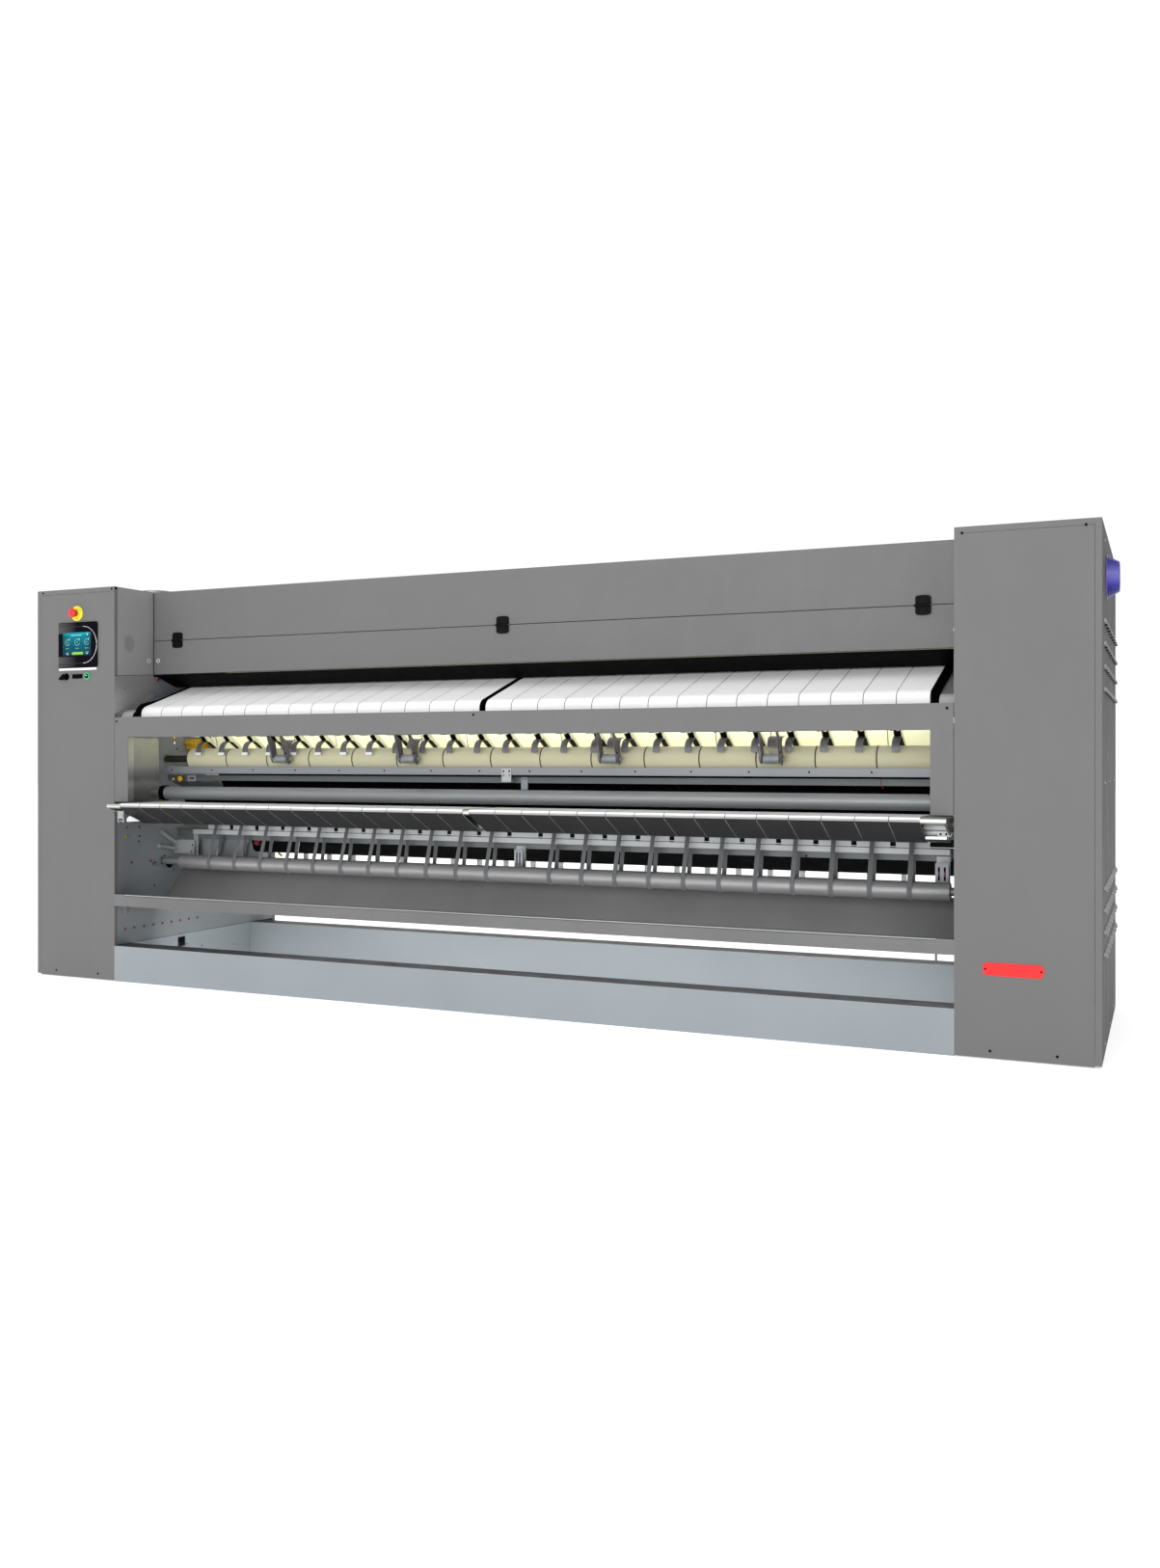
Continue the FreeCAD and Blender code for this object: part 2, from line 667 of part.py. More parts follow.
tops = []
for tag, x0 in (("left", -S.half_width), ("right", S.inner_x)):
    b = new_body("column_top_%s_body" % tag)
    sk = sketch(b, "YZ_Plane", "column_top_%s_section" % tag)
    hgt = S.body_height
    # top sheet with a lip that hangs over the front panel's upper edge
    add_poly(sk, [(0, hgt - TOP_LIP), (t, hgt - TOP_LIP), (t, hgt - t), (S.body_depth, hgt - t),
                  (S.body_depth, hgt), (0, hgt)])
    pad(b, sk, S.half_width - S.inner_x, "column_top_%s_run" % tag)
    # the lip stops short of the side cover's return strip
    place(b, x0)
    doc.recompute()
    sk = sketch(b, "XZ_Plane", "column_top_%s_relief" % tag)
    w = S.half_width - S.inner_x
    if tag == "left":
        add_rect(sk, -1, hgt - TOP_LIP - 1, S.corner_strip, hgt - t)
    else:
        add_rect(sk, w - S.corner_strip, hgt - TOP_LIP - 1, w + 1, hgt - t)
    pocket(b, sk, 5, "column_top_%s_relief_cut" % tag, reverse=True)
    if tag == "left":
        sk = sketch(b, "XY_Plane", "roof_hole")
        add_circle(sk, S.roof_x + S.half_width, S.roof_y, S.roof_bore)
        through(b, sk, "roof_hole_cut")
    tops.append(b)
keep(group("column_tops_group", tops), "column_tops")

backs = []
for tag, a, b_ in (("left", -S.half_width + S.corner_strip + S.cover_gap, -S.inner_x),
                   ("right", S.inner_x, S.half_width - S.corner_strip - S.cover_gap)):
    d = S.body_depth
    body = upright_cover("column_back_" + tag, [
        (a, d), (a, d - S.lip_deep), (a + t, d - S.lip_deep), (a + t, d - t), (b_ - t, d - t),
        (b_ - t, d - S.lip_deep), (b_, d - S.lip_deep), (b_, d)], S.floor_gap, S.body_height - t)
    backs.append(body)
# cable inlet hole low in the right-hand back cover
sk = sketch(backs[1], "XZ_Plane", "cable_inlet")
add_circle(sk, 1980, 300 - VAL["floor_gap"], 20.25)
through(backs[1], sk, "cable_inlet_cut")
keep(group("column_backs_group", backs), "column_backs")

# Inner faces of the columns: painted sheets above the feed table, bright sheets in the window.
inner = []
for tag, x0 in (("left", -S.plate_x), ("right", S.inner_x)):
    b = new_body("inner_cover_%s_body" % tag)
    sk = sketch(b, "YZ_Plane", "inner_cover_%s_outline" % tag)
    add_rect(sk, S.lip_deep + 1, 1140, S.hood_y - 1, S.body_height - t)
    add_rect(sk, S.front_deep + 1, S.post_low_z + 2, 200, S.window_top_z - 4)
    pad(b, sk, S.plate_x - S.inner_x, "inner_cover_%s_thickness" % tag)
    place(b, x0)
    inner.append(b)
keep(group("inner_covers_group", inner), "inner_covers")

# --------------------------------------------------------------------------------------
# Hood between the columns.

hy, bz = S.hood_y, S.body_height
bar("hood_front_panel", [[
    (hy, S.seam_z + 1), (hy + 16, S.seam_z + 1), (hy + 16, S.seam_z + 1 + t), (hy + t, S.seam_z + 1 + t),
    (hy + t, bz - t), (hy, bz - t)]], -S.inner_x, S.inner_x * 2)
bar("hood_top_panel", [[
    (hy, bz - t), (S.body_depth - t, bz - t), (S.body_depth - t, bz), (hy, bz)]], -S.inner_x, S.inner_x * 2)
d = S.body_depth
bar("back_panel", [[
    (d - 16, S.back_low_z), (d, S.back_low_z), (d, bz), (d - t, bz), (d - t, S.back_low_z + t),
    (d - 16, S.back_low_z + t)]], -S.inner_x, S.inner_x * 2)

# Lower flap, hung on three surface hinges; 2 mm of play to the columns.
bar("hood_flap", [[
    (hy, S.flap_low_z), (hy + 22, S.flap_low_z), (hy + 22, S.flap_low_z + 10), (hy + 22 - t, S.flap_low_z + 10),
    (hy + 22 - t, S.flap_low_z + t), (hy + t, S.flap_low_z + t), (hy + t, S.seam_z - 1), (hy, S.seam_z - 1)]],
    -S.inner_x + 2, S.inner_x * 2 - 4)

# Hinges: leaf thickness 6, knuckle radius 6 on the seam line, pin radius 2.5.
HINGE_X = (-1618, 1, 1620)
HW, HH, HT, KR, PR = 52, 34, 6, 6, 2.5
ky = VAL["hood_y"] - KR - 1.0          # knuckle axis in front of the hood face
kz = VAL["seam_z"]


def leaf(xc, up, name):
    """Half a hinge: plate on the hood face with its share of the knuckles."""
    z0, z1 = (kz + KR + 0.5, kz + HH) if up else (kz - HH, kz - KR - 0.5)
    plate = Part.makeBox(HW, HT, z1 - z0, V(xc - HW / 2, VAL["hood_y"] - HT, z0))
    plate = plate.makeFillet(5, [e for e in plate.Edges
                                 if abs(e.BoundBox.YLength - HT) < 1e-6 and
                                 abs(e.BoundBox.ZMin - (z1 if up else z0)) < 1e-6])
    # knuckle barrels: two outer ones on the upper leaf, one middle one on the lower leaf
    spans = ((xc - HW / 2, 15), (xc + HW / 2 - 15, 15)) if up else ((xc - HW / 2 + 15.5, HW - 31),)
    shape = plate
    for x0, w in spans:
        barrel = Part.makeCylinder(KR, w, V(x0, ky, kz), V(1, 0, 0))
        y_in = VAL["hood_y"] - HT
        web = Part.makeBox(w, HT - 1.5, (z0 - kz + 1) if up else (kz - z1 + 1),
                           V(x0, y_in + 0.2, kz if up else z1 - 1))
        shape = shape.fuse(barrel).fuse(web)
    hole = Part.makeCylinder(PR + (0.0 if up else 0.06), HW + 2, V(xc - HW / 2 - 1, ky, kz), V(1, 0, 0))
    return shape.cut(hole).removeSplitter()


upper, lower = [], []
for xc in HINGE_X:
    upper.append(leaf(xc, True, "upper"))
    lower.append(leaf(xc, False, "lower"))
pins = [Part.makeCylinder(PR, HW, V(xc - HW / 2, ky, kz), V(1, 0, 0)) for xc in HINGE_X]
feature("hinge_upper_leaves", Part.makeCompound(upper))
feature("hinge_pins", Part.makeCompound(pins))
feature("hinge_lower_leaves", Part.makeCompound(lower))

# Finger guard under the flap: black sheet that leans down and back to the belts.
gx = S.inner_x - 12
guard = bar("finger_guard_sheet", [[
    (243, 1326), (247, 1330), (266, 1323), (372, 1285.0), (371, 1282.5), (262, 1319)]], -gx, gx * 2)
PARTS.pop()
pin_l = cyl("finger_guard_pin_l", "X", -S.plate_x - 9, S.guard_y, S.guard_z, S.guard_pin, 30)
pin_r = cyl("finger_guard_pin_r", "X", S.plate_x + 9 - 30, S.guard_y, S.guard_z, S.guard_pin, 30)
keep(fuse("finger_guard_fused", [guard, pin_l, pin_r]), "finger_guard")

# --------------------------------------------------------------------------------------
# Front frame: beam and two posts, open channel sections.
fd = S.front_deep
beam = new_body("front_beam_body")
sk = sketch(beam, "YZ_Plane", "front_beam_section")
add_poly(sk, [
    (0, S.window_top_z), (fd, S.window_top_z), (fd, S.window_top_z + t), (t, S.window_top_z + t),
    (t, S.front_top_z - t), (fd, S.front_top_z - t), (fd, S.front_top_z), (0, S.front_top_z)])
pad(beam, sk, S.inner_x * 2 - 4, "front_beam_run")
place(beam, -S.inner_x + 2)
posts = [beam]
for tag, a, b_ in (("left", -S.inner_x + 2, -S.inner_x + S.post_wide), ("right", S.inner_x - S.post_wide, S.inner_x - 2)):
    posts.append(upright_cover("front_post_" + tag, [
        (a, 0), (b_, 0), (b_, fd), (b_ - t, fd), (b_ - t, t), (a + t, t), (a + t, fd), (a, fd)],
        S.post_low_z, S.window_top_z))
keep(group("front_frame_group", posts), "front_frame")

# --------------------------------------------------------------------------------------
# Feed table: bed between the belt runs, side rails, thirty belts, two rollers.
ny, nz = VAL["feed_nose_y"], VAL["feed_nose_z"]
cu, su = VAL["feed_cos"], VAL["feed_sin"]


def feed(u, n):
    """Point on the feed table: u along the slope from the nose axis, n square to it."""
    return (S.feed_nose_y + S.feed_cos * u - S.feed_sin * n, S.feed_nose_z + S.feed_sin * u + S.feed_cos * n)


bar("feed_table_bed", [[feed(42, 4), feed(288, 4), feed(288, 35), feed(42, 35)]], -1704, 3408)

# side rails: boxed sheet with a rounded nose, one each side of the belts
def rail_solid(x0, width):
    nose = (72.0, 1128.0, 36.0)
    top_u0, top_u1 = feed(-20, 44), feed(360, 44)
    a = math.atan2(su, cu)
    # outline: nose arc, sloping top, rear edge, underside
    p1 = V(0, nose[0] - nose[2] * math.sin(a), nose[1] + nose[2] * math.cos(a))
    run = 330.0
    p2 = V(0, p1.y + run * cu, p1.z + run * su)
    p3 = V(0, p2.y + 34 * su, p2.z - 34 * cu)
    p4 = V(0, p1.y + 60 * cu + 34 * su, p1.z + 60 * su - 34 * cu)
    p5 = V(0, nose[0] + 10, nose[1] - nose[2])
    p6 = V(0, nose[0], nose[1] - nose[2])
    mid = V(0, nose[0] - nose[2] * math.cos(math.radians(5)), nose[1] - nose[2] * math.sin(math.radians(5)))
    wire = Part.Wire([Part.Arc(p6, mid, p1).toShape(), Part.LineSegment(p1, p2).toShape(),
                      Part.LineSegment(p2, p3).toShape(), Part.LineSegment(p3, p4).toShape(),
                      Part.LineSegment(p4, p5).toShape(), Part.LineSegment(p5, p6).toShape()])
    return section_solid(wire, x0, width)


rails = []
for x0 in (-1757.0, 1704.0):
    s = rail_solid(x0, 53.0)
    bore = Part.makeCylinder(VAL["shaft_rad"] + VAL["run_gap"], 60, V(x0 - 4, ny, nz), V(1, 0, 0))
    drv = feed(VAL["feed_long"], 0)
    slot = Part.makeCylinder(19, 60, V(x0 - 4, drv[0].v, drv[1].v), V(1, 0, 0))
    rails.append(s.cut(bore).cut(slot))
feature("feed_table_rails", Part.makeCompound(rails))

drv_y, drv_z = feed(S.feed_long, 0)
belt_r = VAL["feed_roll_rad"] + 0.4
feed_circles = [(ny, nz, belt_r, -1), (drv_y.v, drv_z.v, belt_r, -1)]
feature("feed_belts", Part.makeCompound(
    [belt_solid(feed_circles, VAL["feed_belt_thk"], x0, w) for x0, w in belt_edges()]))
roller("feed_nose_roller", S.belt_left - 8, S.belt_right + 8, S.feed_nose_y, S.feed_nose_z, S.feed_roll_rad, 4,
       out_l=-1748, out_r=1748)
roller("feed_drive_roller", S.belt_left - 8, S.belt_right + 8, drv_y, drv_z, S.feed_roll_rad, 4)

# --------------------------------------------------------------------------------------
# Ironing cylinder with its belts and return rollers.
cl, cr = S.cyl_left, S.cyl_left + S.cyl_long
body = new_body("ironing_cylinder_body")
sk = sketch(body, "XZ_Plane", "ironing_cylinder_half_section")
a, b_ = -1800 - cl, 1930 - cl
R, J = S.cyl_rad, S.journal_rad
add_poly(sk, [(a, 0), (a, J), (0, J), (0, R), (S.cyl_long, R), (S.cyl_long, J), (b_, J), (b_, 0),
              (S.cyl_long - 20, 0), (S.cyl_long - 20, R - S.cyl_wall), (20, R - S.cyl_wall), (20, 0)])
rev = body.newObject("PartDesign::Revolution", "ironing_cylinder_turned")
rev.Profile = sk
rev.ReferenceAxis = (sk, ["H_Axis"])
rev.Angle = 360
place(body, cl, S.cyl_y, S.cyl_z)
keep(body, "ironing_cylinder")

# Heating rods inside the cylinder, six on a circle, between the end discs.
rods = []
for k in range(6):
    ang = math.radians(60 * k + 30)
    rods.append(cyl("heating_rod_%d" % (k + 1), "X", cl + 20, S.cyl_y + 175 * math.cos(ang),
                    S.cyl_z + 175 * math.sin(ang), 12, S.cyl_long - 40))
keep(group("heating_elements_group", rods), "heating_elements")

it = VAL["iron_belt_thk"]
iron_circles = [
    (VAL["nip_y"], VAL["nip_z"], VAL["idle_rad"] + 0.4, -1),
    (VAL["rear_y"], VAL["rear_high_z"], VAL["idle_rad"] + 0.4, -1),
    (VAL["rear_y"], VAL["rear_low_z"], VAL["idle_rad"] + 0.4, -1),
    (VAL["exit_y"], VAL["exit_z"], VAL["exit_rad"] + 0.4, -1),
    (VAL["cyl_y"], VAL["cyl_z"], VAL["cyl_rad"] + 0.4 + it, 1),
]
feature("ironing_belts", Part.makeCompound([
    belt_solid(iron_circles, it, VAL["iron_belt_left"] + k * VAL["iron_pitch"] + 1.5, VAL["iron_pitch"] - 3)
    for k in range(int(VAL["iron_count"]))]))
ibl = S.iron_belt_left
ibr = S.iron_belt_left + S.iron_pitch * S.iron_count
roller("exit_roller", ibl - 2, ibr + 2, S.exit_y, S.exit_z, S.exit_rad, 4)
roller("nip_roller", ibl - 2, ibr + 2, S.nip_y, S.nip_z, S.idle_rad, 4)
roller("rear_lower_roller", ibl - 2, ibr + 2, S.rear_y, S.rear_low_z, S.idle_rad, 4)
roller("rear_upper_roller", ibl - 2, ibr + 2, S.rear_y, S.rear_high_z, S.idle_rad, 4)

# Geared motor that sits on the right-hand journal, with its torque arm against the side plate.
gear = box("gear_case", 1806, S.cyl_y - 120, S.cyl_z - 150, 1916, S.cyl_y + 120, S.cyl_z + 190)
motor = cyl("motor_case", "Y", 1861, S.cyl_y - 330, S.cyl_z + 120, 62, 215)
arm = box("torque_arm", 1781, S.cyl_y - 25, S.cyl_z - 250, 1806, S.cyl_y + 25, S.cyl_z - 100)
arm2 = box("torque_foot", 1769, S.cyl_y - 45, S.cyl_z - 290, 1806, S.cyl_y + 45, S.cyl_z - 240)
bore = cyl("gear_bore", "X", 1790, S.cyl_y, S.cyl_z, S.journal_rad + S.run_gap, 150)
keep(cut("drive_gearmotor_shape", fuse("drive_gearmotor_solid", [gear, motor, arm, arm2]), bore), "drive_gearmotor")

# --------------------------------------------------------------------------------------
# Stripper fingers on their shaft, above the exit roller.
sy, sz = S.strip_y, S.strip_z
fb = new_body("stripper_fingers_body")
sk = sketch(fb, "YZ_Plane", "stripper_finger_profile")
# a bar that slants back and down over the belts, with a guide leaf that curls forward and
# drops in front of the exit roller
add_poly(sk, [
    (sy - 16, sz + 14), (sy + 38, sz + 14), (sy + 50, sz + 6), (sy + 206, sz - 96), (sy + 203, sz - 101),
    (sy + 95, sz - 36.1), (sy + 70, sz - 38), (sy + 55, sz - 42), (sy + 45, sz - 51), (sy + 39, sz - 64),
    (sy + 38, sz - 84), (sy + 35.5, sz - 84), (sy + 35.5, sz - 63), (sy + 41.5, sz - 49), (sy + 52.5, sz - 38),
    (sy + 70, sz - 34.5), (sy + 88.5, sz - 32.2), (sy + 45, sz - 6), (sy + 16, sz - 14), (sy - 16, sz - 14)])
add_circle(sk, sy, sz, S.strip_rad)
finger = pad(fb, sk, S.finger_wide, "stripper_finger")
place(fb, S.finger_first - S.finger_wide / 2)
pattern(fb, finger, S.finger_pitch, S.finger_count, "stripper_finger_row")
strip_shaft = cyl("stripper_shaft_rod", "X", -S.shaft_out, S.strip_y, S.strip_z, S.strip_rad, S.shaft_out * 2)
keep(group("strippers_group", [fb, strip_shaft]), "strippers")

# Belt guide brackets: top plate, two cheeks and a pin each, hung from the front beam.
GUIDE_X = (-1074, -442, 448, 1080)
gy, gz, gr_ = VAL["guide_axis_y"], VAL["guide_axis_z"], VAL["guide_rad"]
brackets, wheels = [], []
for xc in GUIDE_X:
    plate = Part.makeBox(96, 216, 5, V(xc - 48, 4, VAL["window_top_z"] + 2))
    back = Part.makeBox(96, 4, 40, V(xc - 48, 216, 1015))
    cheeks = []
    for cx in (xc - 48, xc + 44):
        poly = Part.makePolygon([V(cx, gy - 44, 1053), V(cx, gy - 4, 1022), V(cx, gy + 10, gz + 14), V(cx, gy + 12, gz - 12),
                                 V(cx, gy - 10, gz - 22), V(cx, gy - 28, gz - 10), V(cx, gy - 62, 1053), V(cx, gy - 44, 1053)])
        cheeks.append(Part.Face(poly).extrude(V(4, 0, 0)))
    pin = Part.makeCylinder(6, 96, V(xc - 48, gy, gz), V(1, 0, 0))
    s = plate.fuse(back)
    for c in cheeks:
        s = s.fuse(c)
    s = s.fuse(pin)
    brackets.append(s.removeSplitter())
    wheel = Part.makeCylinder(gr_, 60, V(xc - 30, gy, gz), V(1, 0, 0)).cut(
        Part.makeCylinder(6.06, 70, V(xc - 35, gy, gz), V(1, 0, 0)))
    wheels.append(wheel)
feature("guide_brackets", Part.makeCompound(brackets))
feature("guide_rollers", Part.makeCompound(wheels))

# Two cross bars behind the window: guard bar with its end brackets, and the sensor bar below.
gb = new_body("guard_bar_body")
sk = sketch(gb, "YZ_Plane", "guard_bar_section")
add_poly(sk, [(298, 892), (322, 892), (322, 894), (300, 894), (300, 923), (298, 923)])
pad(gb, sk, 3446, "guard_bar_run")
place(gb, -1723)
ends = [box("guard_bar_end_l", -1759, 300, 896, -1723, 303, 916), box("guard_bar_end_r", 1723, 300, 896, 1759, 303, 916)]
keep(group("guard_bar_group", [gb] + ends), "guard_bar")
sb = new_body("sensor_bar_body")
sk = sketch(sb, "YZ_Plane", "sensor_bar_section")
add_rect(sk, 334, 860, 358, 884)
add_rect(sk, 336, 862, 356, 882)
pad(sb, sk, 3320, "sensor_bar_run")
place(sb, -1600)
ends = [box("sensor_bar_end_l", -1759, 334, 860, -1600, 338, 884), box("sensor_bar_end_r", 1720, 334, 860, 1759, 338, 884)]
keep(group("sensor_bar_group", [sb] + ends), "sensor_bar")

# Bare delivery roller above the table.
roller("delivery_roller", -1700, 1700, S.tube_y, S.tube_z, S.tube_rad, 3)

# --------------------------------------------------------------------------------------
# Delivery table: nose bar and bed, cheeks, thirty belts, drive roller and idler.
A = (-44.0, 756.0)
piv = (VAL["table_piv_y"], VAL["table_piv_z"])
dr = (VAL["table_drv_y"], VAL["table_drv_z"])
bed_wire = loop_wire([(138.0, 758.0, 6.7, 1), (A[0], A[1], 9.2, 1), (30.0, 744.0, 5.0, 1)])
bed_inside = loop_wire([(138.0, 758.0, 4.7, 1), (A[0], A[1], 7.2, 1), (30.0, 744.0, 3.0, 1)])
bed_face = Part.Face([bed_wire, bed_inside])
bed_face.validate()
bed = bed_face.extrude(V(VAL["table_long"], 0, 0))
bed.translate(V(VAL["table_left"], 0, 0))
cheek_wire = loop_wire([(piv[0], piv[1], 24.0, 1), (A[0], A[1], 9.2, 1), (dr[0], dr[1], 22.0, 1)])
end_x = VAL["table_left"] + VAL["table_long"]
for x0 in (VAL["table_left"], end_x - 8):
    bed = bed.fuse(section_solid(cheek_wire, x0, 8.0))
for c, r in ((piv, 12.0 + VAL["run_gap"]), (dr, 12.0 + VAL["run_gap"])):
    bed = bed.cut(Part.makeCylinder(r, 3600, V(-1800, c[0], c[1]), V(1, 0, 0)))
# pivot pins outside the cheeks, in line with the idler, that run in the side plates' bearings
for x0, x1 in ((-VAL["shaft_out"], VAL["table_left"]), (end_x, VAL["shaft_out"])):
    bed = bed.fuse(Part.makeCylinder(VAL["shaft_rad"], x1 - x0, V(x0, piv[0], piv[1]), V(1, 0, 0)))
feature("delivery_bed", bed.removeSplitter())
tb = VAL["table_belt_thk"]
table_circles = [(A[0], A[1], 9.5, 1), (dr[0], dr[1], VAL["table_drv_rad"] + 0.4, 1),
                 (piv[0], piv[1], VAL["table_idle_rad"] + 0.4, 1)]


def outer_belt(circles, thickness, x0, width):
    face = Part.Face([loop_wire([(y, z, r + thickness, s) for y, z, r, s in circles]), loop_wire(circles)])
    face.validate()
    s = face.extrude(V(width, 0, 0))
    s.translate(V(x0, 0, 0))
    return s


feature("delivery_belts", Part.makeCompound([
    outer_belt(table_circles, tb, max(x0, -1675.0), w - (4 if k == 0 else 0) - (10 if k == 29 else 0))
    for k, (x0, w) in enumerate(belt_edges())]))
roller("table_drive_roller", S.table_left + 9, S.table_left + S.table_long - 9, S.table_drv_y, S.table_drv_z,
       S.table_drv_rad, 4, shaft=12, out_l=-1752, out_r=1742)
roller("table_idler_roller", S.belt_left + 4, S.belt_right - 4, S.table_piv_y, S.table_piv_z, S.table_idle_rad, 4,
       shaft=12, out_l=S.table_left + 1, out_r=S.table_left + S.table_long - 1)

# --------------------------------------------------------------------------------------
# Folding section: fold roller, cross beam, plates, tapes, transfer bed and its uprights.
roller("fold_roller", -1655, 1700, S.fold_y, S.fold_z, S.fold_rad, 3)
fbm = new_body("fold_beam_body")
sk = sketch(fbm, "YZ_Plane", "fold_beam_section")
add_rect(sk, 390, 595, 430, 640)
add_rect(sk, 393, 598, 427, 637)
pad(fbm, sk, 3322, "fold_beam_run")
place(fbm, -1630)
ends = [box("fold_beam_end_l", -S.plate_x, 400, 604, -1630, 424, 640), box("fold_beam_end_r", 1692, 400, 604, S.plate_x, 424, 640)]
keep(group("fold_beam_group", [fbm] + ends), "fold_beam")

TAPES = [k for k in range(23) if k != 11]
tp, tw, t0 = VAL["tape_pitch"], VAL["tape_wide"], VAL["tape_first"]
fy, fz, frr = VAL["fold_y"], VAL["fold_z"], VAL["fold_rad"]
wy, wz, wr = VAL["tape_wheel_y"], VAL["tape_wheel_z"], VAL["tape_wheel_rad"]
tape_circles = [(fy, fz, frr + 0.4, -1), (wy, wz, wr + 0.4, -1)]
feature("fold_tapes", Part.makeCompound([belt_solid(tape_circles, 1.5, t0 + k * tp - tw / 2, tw) for k in TAPES]))
strip = Part.makeBox(3322, 3, 21, V(-1630, 352, 620))
for k in range(23):
    xc = t0 + k * tp
    strip = strip.fuse(Part.makeBox(4, 35, 16, V(xc + 45, 355, 622)))
    strip = strip.fuse(Part.makeBox(119, 3, 26.5, V(xc - 59.5, 352, 640.5)))
    if k in TAPES:
        for dx in (-14, 11):
            strip = strip.fuse(Part.makeBox(3, 30, 60, V(xc + dx, 354, 655)))
        strip = strip.fuse(Part.makeCylinder(4, 26, V(xc - 13, wy, wz), V(1, 0, 0)))
        strip = strip.fuse(Part.makeCylinder(wr, tw + 2, V(xc - tw / 2 - 1, wy, wz), V(1, 0, 0)))
feature("fold_plates", strip.removeSplitter())

bar("transfer_bed", [[(452, 622), (462, 632), (774, 525), (770, 512)]], -S.plate_x, S.plate_x * 2)
ups = []
for k in range(23):
    xc = t0 + k * tp - 13.4
    pts = [V(xc - 10, 1013, 504), V(xc - 10, 1027, 518), V(xc - 10, 1027, 389), V(xc - 10, 1013, 389), V(xc - 10, 1013, 504)]
    ups.append(Part.Face(Part.makePolygon(pts)).extrude(V(20, 0, 0)))
rail = Part.makeBox(3518, 30, 20, V(-1759, 1005, 369))
feature("transfer_uprights", Part.makeCompound(ups + [rail]))

# Left bearing plate with its two rods, and the slotted brackets in the middle and at the right.
left_plate = Part.makeBox(119, 6, 62, V(-1759, 372, 528))
left_arm = Part.makeBox(24, 4, 122, V(-1655, 386, 518))
rod1 = Part.makeCylinder(9, 110, V(-1742, 372, 575), V(-0.05, -0.86, 0.5))
rod2 = Part.makeCylinder(9, 110, V(-1744, 372, 548), V(-0.05, -0.97, 0.18))
mid_plate = Part.makeBox(40, 4, 100, V(-13, 386, 506))
right_plate = Part.makeBox(46, 4, 100, V(1642, 386, 512))
feature("fold_brackets", Part.makeCompound([left_plate.fuse(rod1).fuse(rod2), left_arm, mid_plate, right_plate]))

# Collection tray: lip at the front, floor, and back that rises under the fold roller.
tt = S.tray_thk
bar("collection_tray", [[
    (0, S.tray_low_z), (tt, S.tray_low_z), (tt, S.tray_lip_z - tt), (25, S.tray_lip_z - tt), (25, 333),
    (300, 320), (S.tray_back_y, S.tray_back_z), (S.tray_back_y - 2, S.tray_back_z + 2.2),
    (299, 323.2), (28, 336), (28, S.tray_lip_z), (0, S.tray_lip_z)]], -S.inner_x, S.inner_x * 2)

# --------------------------------------------------------------------------------------
# Exhaust: outlet cone on the right side cover, fan housing behind it, fan wheel.
ox_ = S.half_width
flange = cyl("outlet_flange", "X", ox_, S.outlet_y, S.outlet_z, S.outlet_big + 7, 3)
shell = cone("outlet_cone", "X", ox_ + 3, S.outlet_y, S.outlet_z, S.outlet_big, S.outlet_small, S.outlet_long)
hollow = cyl("outlet_bore", "X", ox_ - 1, S.outlet_y, S.outlet_z, S.outlet_small - 4, S.outlet_long + 6)
side_collar = cut("side_collar_shape", fuse("side_collar_solid", [flange, shell]), [hollow])
# plain round collar on the roof of the left column
roof_flange = cyl("roof_flange", "Z", S.roof_x, S.roof_y, S.body_height, S.roof_rad + 12, 2)
roof_pipe = cyl("roof_pipe", "Z", S.roof_x, S.roof_y, S.body_height, S.roof_rad, S.roof_high)
roof_bore = cyl("roof_bore_cut", "Z", S.roof_x, S.roof_y, S.body_height - 1, S.roof_bore, S.roof_high + 2)
roof_collar = cut("roof_collar_shape", fuse("roof_collar_solid", [roof_flange, roof_pipe]), [roof_bore])
keep(group("exhaust_collars_group", [side_collar, roof_collar]), "exhaust_collars")

house = cyl("fan_case", "X", 2030, S.outlet_y, S.outlet_z, 120, 168)
house_in = cyl("fan_case_in", "X", 2036, S.outlet_y, S.outlet_z, 114, 156)
house_out = cyl("fan_case_out", "X", 2180, S.outlet_y, S.outlet_z, S.outlet_big - 3, 30)
house_shaft = cyl("fan_case_shaft", "X", 2020, S.outlet_y, S.outlet_z, 8 + 0.05, 30)
fan_arm = box("fan_case_foot", 1769, S.outlet_y - 30, S.outlet_z - 62, 2032, S.outlet_y + 30, S.outlet_z - 40)
fan_motor = cyl("fan_motor_case", "X", 1880, S.outlet_y, S.outlet_z, 48, 150)
fan_motor_bore = cyl("fan_motor_bore", "X", 1960, S.outlet_y, S.outlet_z, 8 + 0.05, 80)
keep(cut("fan_housing_shape", fuse("fan_housing_solid", [house, fan_arm, fan_motor]),
         [house_in, house_out, house_shaft, fan_motor_bore]), "fan_housing")

blades = [Part.makeCylinder(18, 60, V(2050, VAL["outlet_y"], VAL["outlet_z"]), V(1, 0, 0)),
          Part.makeCylinder(8, 110, V(1965, VAL["outlet_y"], VAL["outlet_z"]), V(1, 0, 0)),
          Part.makeCylinder(95, 3, V(2050, VAL["outlet_y"], VAL["outlet_z"]), V(1, 0, 0))]
for k in range(12):
    ang = 30.0 * k
    blade = Part.makeBox(50, 3, 45, V(2051, VAL["outlet_y"] - 1.5, VAL["outlet_z"] + 50))
    blade.rotate(V(0, VAL["outlet_y"], VAL["outlet_z"]), V(1, 0, 0), ang)
    blades.append(blade)
wheel = blades[0]
for b in blades[1:]:
    wheel = wheel.fuse(b)
feature("fan_wheel", wheel.removeSplitter())

